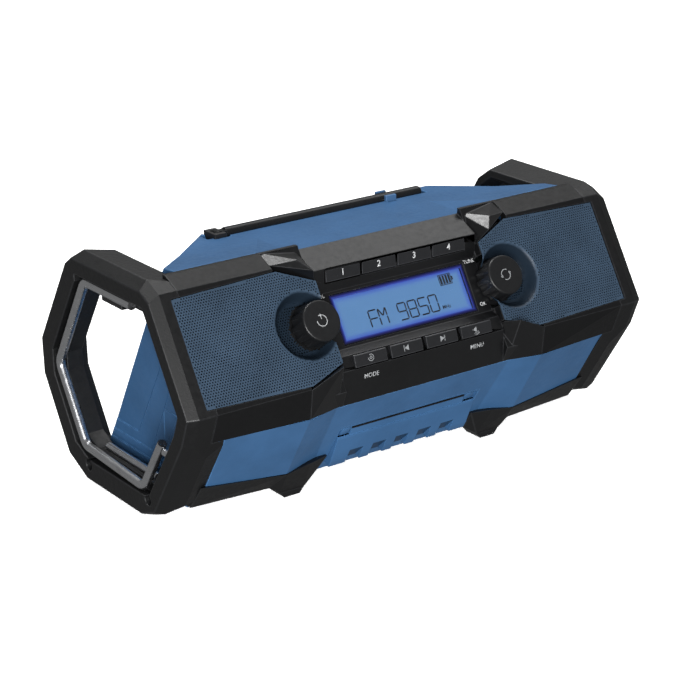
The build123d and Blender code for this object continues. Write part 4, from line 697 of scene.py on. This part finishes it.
def flat_sheet(side, sides):
    """Flat triangulated sheet, its corners where the holes will be, cut to the outline."""
    rise = HOLE_PITCH * math.sqrt(3) / 2
    bpy.ops.mesh.primitive_grid_add(x_subdivisions=GRILLE_COLUMNS, y_subdivisions=GRILLE_ROWS, size=1.0)
    sheet = bpy.context.object
    sheet.name = HAND[side] + "_grille_sheet"
    sheet.scale = (GRILLE_COLUMNS * HOLE_PITCH * MM, GRILLE_ROWS * rise * MM, 1.0)
    settle(sheet)
    # sheared, so that each row's corners stand between those of the next
    sheet.data.transform(Matrix(((1, HOLE_PITCH / 2 / rise, 0, side * GRILLE_MIDDLE_X * MM),
                                 (0, 1, 0, 0),
                                 (0, 0, 1, GRILLE_START_W * MM),
                                 (0, 0, 0, 1))))
    into_edit(sheet, "FACE", whole=True)
    bpy.ops.mesh.quads_convert_to_tris(quad_method="SHORTEST_DIAGONAL")
    middle = Vector((side * GRILLE_MIDDLE_X, 0, 0)) * MM
    for start, end in sides:
        a, b = Vector((*start, 0)) * MM, Vector((*end, 0)) * MM
        across = Vector((b.y - a.y, -(b.x - a.x), 0)).normalized()
        if across.dot(middle - a) > 0:
            across = -across
        bpy.ops.mesh.select_all(action="SELECT")
        bpy.ops.mesh.bisect(plane_co=a, plane_no=across, clear_outer=True)
    bpy.ops.mesh.select_all(action="SELECT")
    bpy.ops.mesh.remove_doubles(threshold=WELD_GAP * MM)
    out_of_edit()
    return sheet


def remove_faces(piece, test, kind):
    """Deletes the faces that a test names."""
    into_edit(piece, "FACE")
    choose(piece, faces=test)
    bpy.ops.mesh.delete(type=kind)
    out_of_edit()


def punched_grille(side):
    """Sheet pressed over the form, with a triangular pattern of small holes and one for the knob."""
    sides = outline_sides(side)
    sheet = flat_sheet(side, sides)
    form = dish_form(side)
    add_modifier(sheet, "SHRINKWRAP", target=form, wrap_method="PROJECT", use_project_z=True,
                 use_negative_direction=True, use_positive_direction=False)
    set_modifiers(sheet)
    bpy.data.objects.remove(form)
    holes = [corner.index for corner in sheet.data.vertices
             if rim_distance(sides, corner.co / MM) > PLAIN_RIM and corner.normal.z > HOLE_FACING]
    sheet.vertex_groups.new(name="punched").add(holes, 1.0, "REPLACE")
    coat, rim = FINISHES["grille_black"]
    paint(sheet, coat, rim, rim)
    slug = 2                   # the last slot marks what the punch takes out
    add_modifier(sheet, "BEVEL", affect="VERTICES", width=HOLE_REACH * MM, segments=1,
                 limit_method="VGROUP", vertex_group="punched", material=slug, use_clamp_overlap=False)
    set_modifiers(sheet)
    remove_faces(sheet, lambda face: face.material_index == slug, "ONLY_FACE")
    remove_faces(sheet, lambda face: face.center.z < SPINDLE_HOLE_W * MM and math.hypot(
        face.center.x / MM - side * KNOB_X, face.center.y / MM) < SPINDLE_HOLE_R, "FACE")
    into_edit(sheet, "FACE", whole=True)
    bpy.ops.mesh.normals_make_consistent(inside=False)
    out_of_edit()
    if sheet.data.polygons[0].normal.z < 0:
        sheet.data.flip_normals()
    add_modifier(sheet, "SOLIDIFY", thickness=SHEET_THICK * MM, offset=-1.0)
    set_modifiers(sheet)
    smooth(sheet, SHEET_CREASE)
    settle(sheet, FACE)
    finish_node(sheet, HAND[side] + "_grille")


# ---- the hatch's hinge and the window's border ----
def eased_block(name, limits, ease, finish, node):
    """A small block between three pairs of limits in the lower slant's own frame."""
    bpy.ops.mesh.primitive_cube_add(size=1.0)
    piece = bpy.context.object
    piece.name = name
    piece.scale = [(high - low) * MM for low, high in limits]
    settle(piece)
    settle(piece, Matrix.Translation([(low + high) / 2 * MM for low, high in limits]))
    add_modifier(piece, "BEVEL", width=ease * MM, segments=2, limit_method="ANGLE",
                 angle_limit=math.radians(BLOCK_ANGLE))
    set_modifiers(piece)
    paint(piece, finish)
    smooth(piece, BLOCK_ANGLE)
    settle(piece, slant_frame())
    ride_on(piece, node)


def hinge_dressing():
    """Broad ears at the pin's ends, and a dark strip along the hatch's upper edge: painted shade for the
    gap above the hatch.
    """
    for side in SIDES:
        across = tuple(sorted((side * EAR_INNER_X, side * EAR_OUTER_X)))
        eased_block(HAND[side] + "_hinge_ear", (across, EAR_V, EAR_W), EAR_EASED,
                    FINISHES["blue_shell"][0], "hinge_carrier")
    eased_block("hatch_gap_shade", GAP_SHADE_LIMITS, GAP_SHADE_EASED, FINISHES["dark_shell"][0], "accessory_hatch")


def window_border():
    """Printed border on the window, over the seat's edge."""
    bpy.ops.mesh.primitive_plane_add(size=1.0)
    border = bpy.context.object
    border.name = "window_border"
    border.scale = (BORDER_LONG * MM, BORDER_HIGH * MM, 1)
    settle(border)
    into_edit(border, "FACE", whole=True)
    bpy.ops.mesh.inset(thickness=BORDER_WIDE * MM)
    bpy.ops.mesh.delete(type="FACE")
    out_of_edit()
    add_modifier(border, "SOLIDIFY", thickness=BORDER_THICK * MM, offset=0.0)
    set_modifiers(border)
    settle(border, tilted(0, BORDER_V, BORDER_W))
    paint(border, border_glow())
    ride_on(border, "display_lens")


# ---- knobs ----
def flute_tool():
    """Ring of round bars that cut the flutes."""
    cutters = []
    for step in range(FLUTES):
        turn = 2 * math.pi * (step + 0.5) / FLUTES
        reach = FLUTE_REACH * MM
        bpy.ops.mesh.primitive_cylinder_add(vertices=40, radius=FLUTE_R * MM, depth=FLUTE_LONG * MM,
                                            end_fill_type="NGON",
                                            location=(reach * math.cos(turn), reach * math.sin(turn),
                                                      FLUTE_W * MM))
        cutter = bpy.context.object
        cutter.rotation_euler = (0, 0, turn)
        settle(cutter)
        cutters.append(cutter)
    return join(cutters, "flute_tool")


def fluted_knob(side):
    """Knob with twelve broad flutes, a soft shoulder and a slightly dished face."""
    bpy.ops.mesh.primitive_cylinder_add(vertices=120, radius=KNOB_R * MM, depth=KNOB_SKIRT * MM,
                                        end_fill_type="NGON", location=(0, 0, KNOB_SKIRT_W * MM))
    body = bpy.context.object
    body.name = KNOB_NAME[side] + "_knob_turned"
    settle(body)
    into_edit(body, "FACE")
    choose(body, faces=lambda face: face.normal.z > 0.9)
    for rise, ratio in KNOB_RINGS:
        bpy.ops.mesh.extrude_region_move(TRANSFORM_OT_translate={"value": (0, 0, rise * MM)})
        bpy.ops.transform.resize(value=(ratio, ratio, 1.0))
    bpy.ops.mesh.inset(thickness=KNOB_LIP * MM)
    bpy.ops.mesh.inset(thickness=KNOB_DISH * MM)
    bpy.ops.transform.translate(value=(0, 0, -KNOB_DISH_DEPTH * MM))
    out_of_edit()
    tool = flute_tool()
    add_modifier(body, "BOOLEAN", object=tool, operation="DIFFERENCE", solver="EXACT")
    set_modifiers(body)
    bpy.data.objects.remove(tool)
    paint(body, *FINISHES["knob_black"])
    body.data.polygons.foreach_set("material_index", [0] * len(body.data.polygons))
    # the knob's eased edges take its lighter edge finish: a painted highlight
    add_modifier(body, "BEVEL", width=KNOB_EASED * MM, segments=2, limit_method="ANGLE",
                 angle_limit=math.radians(KNOB_ANGLE), use_clamp_overlap=False, material=1)
    set_modifiers(body)
    smooth(body, KNOB_CREASE)
    even_shading(body)
    settle(body, tilted(side * KNOB_X, 0, 0))
    finish_node(body, KNOB_NAME[side] + "_knob")


def knob_well(side):
    """Dark cup plate behind the dish that closes the opening round the knob's spindle."""
    bpy.ops.mesh.primitive_cylinder_add(vertices=72, radius=WELL_R * MM, depth=WELL_THICK * MM,
                                        end_fill_type="NGON", location=(0, 0, WELL_W * MM))
    plate = bpy.context.object
    plate.name = KNOB_NAME[side] + "_knob_well"
    settle(plate)
    into_edit(plate, "FACE")
    choose(plate, faces=lambda face: abs(face.normal.z) > 0.9)
    bpy.ops.mesh.inset(thickness=WELL_RIM * MM, use_individual=True)
    bpy.ops.mesh.bridge_edge_loops()
    out_of_edit()
    add_modifier(plate, "BEVEL", width=WELL_EASED * MM, segments=2, limit_method="ANGLE",
                 angle_limit=math.radians(BLOCK_ANGLE))
    set_modifiers(plate)
    paint(plate, FINISHES["dark_shell"][0])
    smooth(plate, BLOCK_ANGLE)
    settle(plate, tilted(side * KNOB_X, 0, 0))
    ride_on(plate, "console_fascia")


# ---- printed marks ----
def shift(x, v):
    """A move in the plane of a mark, in millimetres."""
    return Matrix.Translation((x * MM, v * MM, 0))


def print_on(mark, depth, place, ink, node):
    """Thickens a flat mark, puts it in place and inks it."""
    face_up(mark)
    add_modifier(mark, "SOLIDIFY", thickness=depth * MM, offset=1.0)
    set_modifiers(mark)
    settle(mark, place)
    paint(mark, ink)
    ride_on(mark, node)


def lettering(name, words, size, place, ink, node):
    """Words or digits, centred on their place."""
    bpy.ops.object.text_add(location=(0, 0, 0))
    text = bpy.context.object
    text.name = name
    text.data.body = words
    text.data.size = size * MM
    text.data.align_x = "CENTER"
    text.data.align_y = "CENTER"
    text.data.resolution_u = 4
    text.data.offset = PRINT_BOLD * size * MM
    pick(text)
    bpy.ops.object.convert(target="MESH")
    print_on(bpy.context.object, PRINT_RAISED, place, ink, node)


def bar(length, width, angle=0.0, at=(0.0, 0.0), pointed=True):
    """One flat stroke, its ends cut to a point unless told otherwise."""
    bpy.ops.mesh.primitive_plane_add(size=1.0)
    stroke = bpy.context.object
    stroke.scale = ((length - width) * MM, width * MM, 1)
    settle(stroke)
    if pointed:
        into_edit(stroke, "EDGE")
        for end in SIDES:
            choose(stroke, verts=lambda co: co.x * end > 0, kind="EDGE")
            push = (end * width / 2 * MM, 0, 0)
            bpy.ops.mesh.extrude_region_move(TRANSFORM_OT_translate={"value": push})
            bpy.ops.transform.resize(value=(1, BAR_TIP, 1))
        out_of_edit()
    settle(stroke, shift(*at) @ Matrix.Rotation(math.radians(angle), 4, "Z"))
    return stroke


def character(letter, x):
    """One character in pointed segments."""
    half, quarter, tall = SEGMENT_WIDE / 2, SEGMENT_HIGH / 4, SEGMENT_HIGH / 2
    segments = {
        "a": (SEGMENT_WIDE, 0, (0, tall)),
        "g": (SEGMENT_WIDE, 0, (0, 0)),
        "d": (SEGMENT_WIDE, 0, (0, -tall)),
        "f": (tall, 90, (-half, quarter)), "b": (tall, 90, (half, quarter)),
        "e": (tall, 90, (-half, -quarter)), "c": (tall, 90, (half, -quarter)),
    }
    strokes = []
    for mark in CHARACTERS[letter]:
        length, angle, (dx, dv) = segments[mark]
        strokes.append(bar(length - SEGMENT_GAP, SEGMENT_THICK, angle, (x + dx, SEGMENT_V + dv)))
    return strokes


def letter_m():
    """The M: two uprights of two segments each and two slanting strokes."""
    quarter = SEGMENT_HIGH / 4
    strokes = []
    for hand in SIDES:
        for v in (SEGMENT_V + quarter, SEGMENT_V - quarter):
            at = (LETTER_M_X + hand * LETTER_M_HALF, v)
            strokes.append(bar(SEGMENT_HIGH / 2 - UPRIGHT_GAP, SEGMENT_THICK, 90, at))
    for hand in SIDES:
        at = (LETTER_M_X + hand * SLANT_X, SEGMENT_V + quarter + SLANT_V)
        strokes.append(bar(SLANT_LONG, SEGMENT_THICK, hand * SLANT_ANGLE, at))
    return strokes


def display_characters():
    """Characters, unit and charge mark on the display."""
    strokes = character("F", LETTER_F_X) + letter_m()
    for step, digit in enumerate(DIGITS):
        strokes += character(digit, FIRST_DIGIT_X + DIGIT_PITCH * step)
    point = (POINT_X, SEGMENT_V - SEGMENT_HIGH / 2 + POINT_V)
    strokes.append(bar(POINT_LONG, POINT_HIGH, 0, point, False))
    for stroke in CHARGE_CASE:
        strokes.append(bar(*stroke, False))
    for step in range(CHARGE_CELLS):
        strokes.append(bar(CELL_LONG, CELL_WIDE, 90, (CELL_X + CELL_PITCH * step, CHARGE_V), False))
    marks = join(strokes, "display_characters")
    print_on(marks, SEGMENT_RAISED, tilted(0, 0, LCD_W), SEGMENT_INK, "lcd_module")
    lettering("display_unit", "MHz", UNIT_SIZE, tilted(UNIT_X, UNIT_V, LCD_W), SEGMENT_INK, "lcd_module")


def ring_mark(radius, width, start, sweep, at=(0.0, 0.0)):
    """A flat arc, spun from one short edge."""
    bpy.ops.mesh.primitive_plane_add(size=1.0)
    arc = bpy.context.object
    into_edit(arc, "EDGE")
    choose(arc, verts=lambda co: co.x > 0, kind="VERT")
    bpy.ops.mesh.delete(type="VERT")
    out_of_edit()
    turn = math.radians(start)
    for corner, reach in zip(arc.data.vertices, (radius - width / 2, radius + width / 2)):
        corner.co = (reach * MM * math.cos(turn), reach * MM * math.sin(turn), 0)
    into_edit(arc, "EDGE", whole=True)
    bpy.ops.mesh.spin(steps=ARC_STEPS, angle=math.radians(sweep), center=(0, 0, 0), axis=(0, 0, 1))
    out_of_edit()
    settle(arc, shift(*at))
    return arc


def wedge(size, point, at):
    """A flat triangle pointing along X, either way."""
    bpy.ops.mesh.primitive_circle_add(vertices=3, radius=size * MM, fill_type="NGON")
    shape = bpy.context.object
    shape.rotation_euler = (0, 0, math.radians(-90 if point > 0 else 90))
    settle(shape)
    settle(shape, shift(*at))
    return shape


def key_place(row, index):
    """Middle of a key's sloping face."""
    x = (index - (KEYS_IN_ROW + 1) / 2) * KEY_PITCHES[row]
    high, low = KEY_FACES[row]
    return tilted(x, (high[0] + low[0]) / 2, (high[1] + low[1]) / 2 + PRINT_LIFT, slope_of(high, low))


def mark_of(pieces, name, place, ink, node):
    """One printed mark made of several flat pieces."""
    print_on(join(pieces, name), PRINT_RAISED, place, ink, node)


def key_mark(index, name, pieces):
    """A mark on one key of the lower row."""
    mark_of(pieces, name, key_place("function", index), GREY_INK, f"function_key_{index}")


def key_marks():
    """Digits on the upper keys and marks on the lower ones."""
    for index in range(1, KEYS_IN_ROW + 1):
        lettering(f"preset_digit_{index}", str(index), DIGIT_SIZE, key_place("preset", index), WHITE_INK,
                  f"preset_key_{index}")
    key_mark(1, "mode_mark", [ring_mark(2.0, 0.42, 120, 300), ring_mark(0.75, 0.4, 0, 360)])
    for index, way, name in ((2, -1, "previous_mark"), (3, 1, "next_mark")):
        key_mark(index, name, [bar(4.2, 0.45, 90, (2.0 * way, 0), False),
                               wedge(2.05, way, (-0.3 * way, 0))])
    key_mark(4, "loudness_mark", [bar(1.7, 1.2, 90, (-2.5, 0), False), wedge(1.9, -1, (-0.95, 0)),
                                  ring_mark(2.0, 0.38, -42, 84, (-0.3, 0)),
                                  ring_mark(3.1, 0.38, -42, 84, (-0.3, 0))])


def knob_marks():
    """A power sign on the left knob and two turning arrows on the right one."""
    mark_of([ring_mark(3.5, 0.45, 118, 304), bar(3.8, 0.45, 90, (0, 2.6), False)], "power_mark",
            tilted(-KNOB_X, 0, POWER_MARK_W), PALE_INK, "volume_knob")
    mark_of([ring_mark(3.4, 0.5, 20, 140), ring_mark(3.4, 0.5, 200, 140), wedge(1.1, 1, (3.2, 0.9)),
             wedge(1.1, -1, (-3.2, -0.9))], "turn_mark",
            tilted(KNOB_X, 0, TURN_MARK_W), GREY_INK, "tuning_knob")


def labels():
    """Plain words on the fascia."""
    for x, v, words in LABELS:
        lettering("label_" + words.lower(), words, LABEL_SIZE, tilted(x, v, LABEL_W), WHITE_INK,
                  "console_fascia")
    for x, words in LOW_LABELS:
        place = tilted(x, LOW_LABEL_V, LOW_LABEL_W, slope_of(*LOW_STRIP))
        lettering("label_" + words.lower(), words, LOW_LABEL_SIZE, place, PALE_INK, "console_fascia")


# ---- what shows its own shape keeps it, with its finish ----
def finish_the_rest():
    """Gives every node's own mesh its main finish."""
    for node, thing in frame["nodes"].items():
        main = FINISHES[LOOK_OF[node]][0]
        for slot in thing.material_slots:
            slot.material = main
        if not thing.material_slots:
            thing.data.materials.append(main)


# ---- camera, light and floor ----
def place_camera():
    """The camera, turned by its azimuth, elevation and roll."""
    azimuth, elevation = math.radians(CAMERA_AZIMUTH), math.radians(CAMERA_ELEVATION)
    forward = Vector((
        -math.sin(azimuth) * math.cos(elevation),
        math.cos(azimuth) * math.cos(elevation),
        -math.sin(elevation),
    ))
    bpy.ops.object.camera_add(location=CAMERA_PLACE)
    camera = bpy.context.object
    camera.name = "studio_camera"
    roll = Matrix.Rotation(math.radians(CAMERA_ROLL), 3, "Z")
    camera.rotation_euler = (forward.to_track_quat("-Z", "Y").to_matrix() @ roll).to_euler()
    camera.data.sensor_width = SENSOR
    camera.data.lens = SENSOR * FOCAL_LENGTH / VIEW_WIDTH
    camera.data.clip_start = 0.05
    bpy.context.scene.camera = camera


def area_light(name, place, aim, size, watts):
    """One rectangular light, turned towards its aim."""
    bpy.ops.object.light_add(type="AREA", location=place)
    lamp = bpy.context.object
    lamp.name = name
    lamp.data.shape = "RECTANGLE"
    lamp.data.size, lamp.data.size_y = size
    lamp.data.energy = watts
    way = Vector(aim) - Vector(place)
    lamp.rotation_euler = way.to_track_quat("-Z", "Y").to_euler()


def light_table():
    """Pale glowing floor under the radio, which throws no light of its own on it."""
    bpy.ops.mesh.primitive_plane_add(size=FLOOR_SIZE, location=(0, 0, FLOOR_Z))
    floor = bpy.context.object
    floor.name = "studio_floor"
    cover = Finish("pale_light_table")
    cloth = cover.ramp(cover.noise(3.0, 2.0), (0.3, (0.86, 0.86, 0.86)), (0.7, (0.9, 0.9, 0.9)))
    cover.link(cloth, cover.shader.inputs["Base Color"])
    cover.link(cloth, cover.shader.inputs["Emission Color"])
    cover.set(Roughness=0.9, Specular_IOR_Level=0.0, Emission_Strength=0.85)
    floor.data.materials.append(cover.paint)
    floor.visible_diffuse = False
    floor.visible_glossy = False


def plain_studio():
    """Light table, an even sky, one broad overhead light and three soft boxes."""
    light_table()
    world = bpy.data.worlds.new("studio_air")
    world.use_nodes = True
    air = world.node_tree.nodes["Background"]
    air.inputs["Color"].default_value = (1, 1, 1, 1)
    air.inputs["Strength"].default_value = AIR_STRENGTH
    bpy.context.scene.world = world
    bpy.ops.object.light_add(type="SUN", location=SUN_PLACE)
    sun = bpy.context.object
    sun.name = "overhead_light"
    sun.data.energy = SUN_STRENGTH
    sun.data.angle = math.radians(SUN_SPREAD)
    sun.rotation_euler = (-Vector(SUN_FROM)).to_track_quat("-Z", "Y").to_euler()
    for box in SOFT_BOXES:
        area_light(*box)


finish_the_rest()
soften_mouldings()
for side in SIDES:
    punched_grille(side)
    fluted_knob(side)
    knob_well(side)
hinge_dressing()
window_border()
display_characters()
key_marks()
knob_marks()
labels()
place_camera()
plain_studio()
bpy.context.scene.view_settings.view_transform = "Standard"
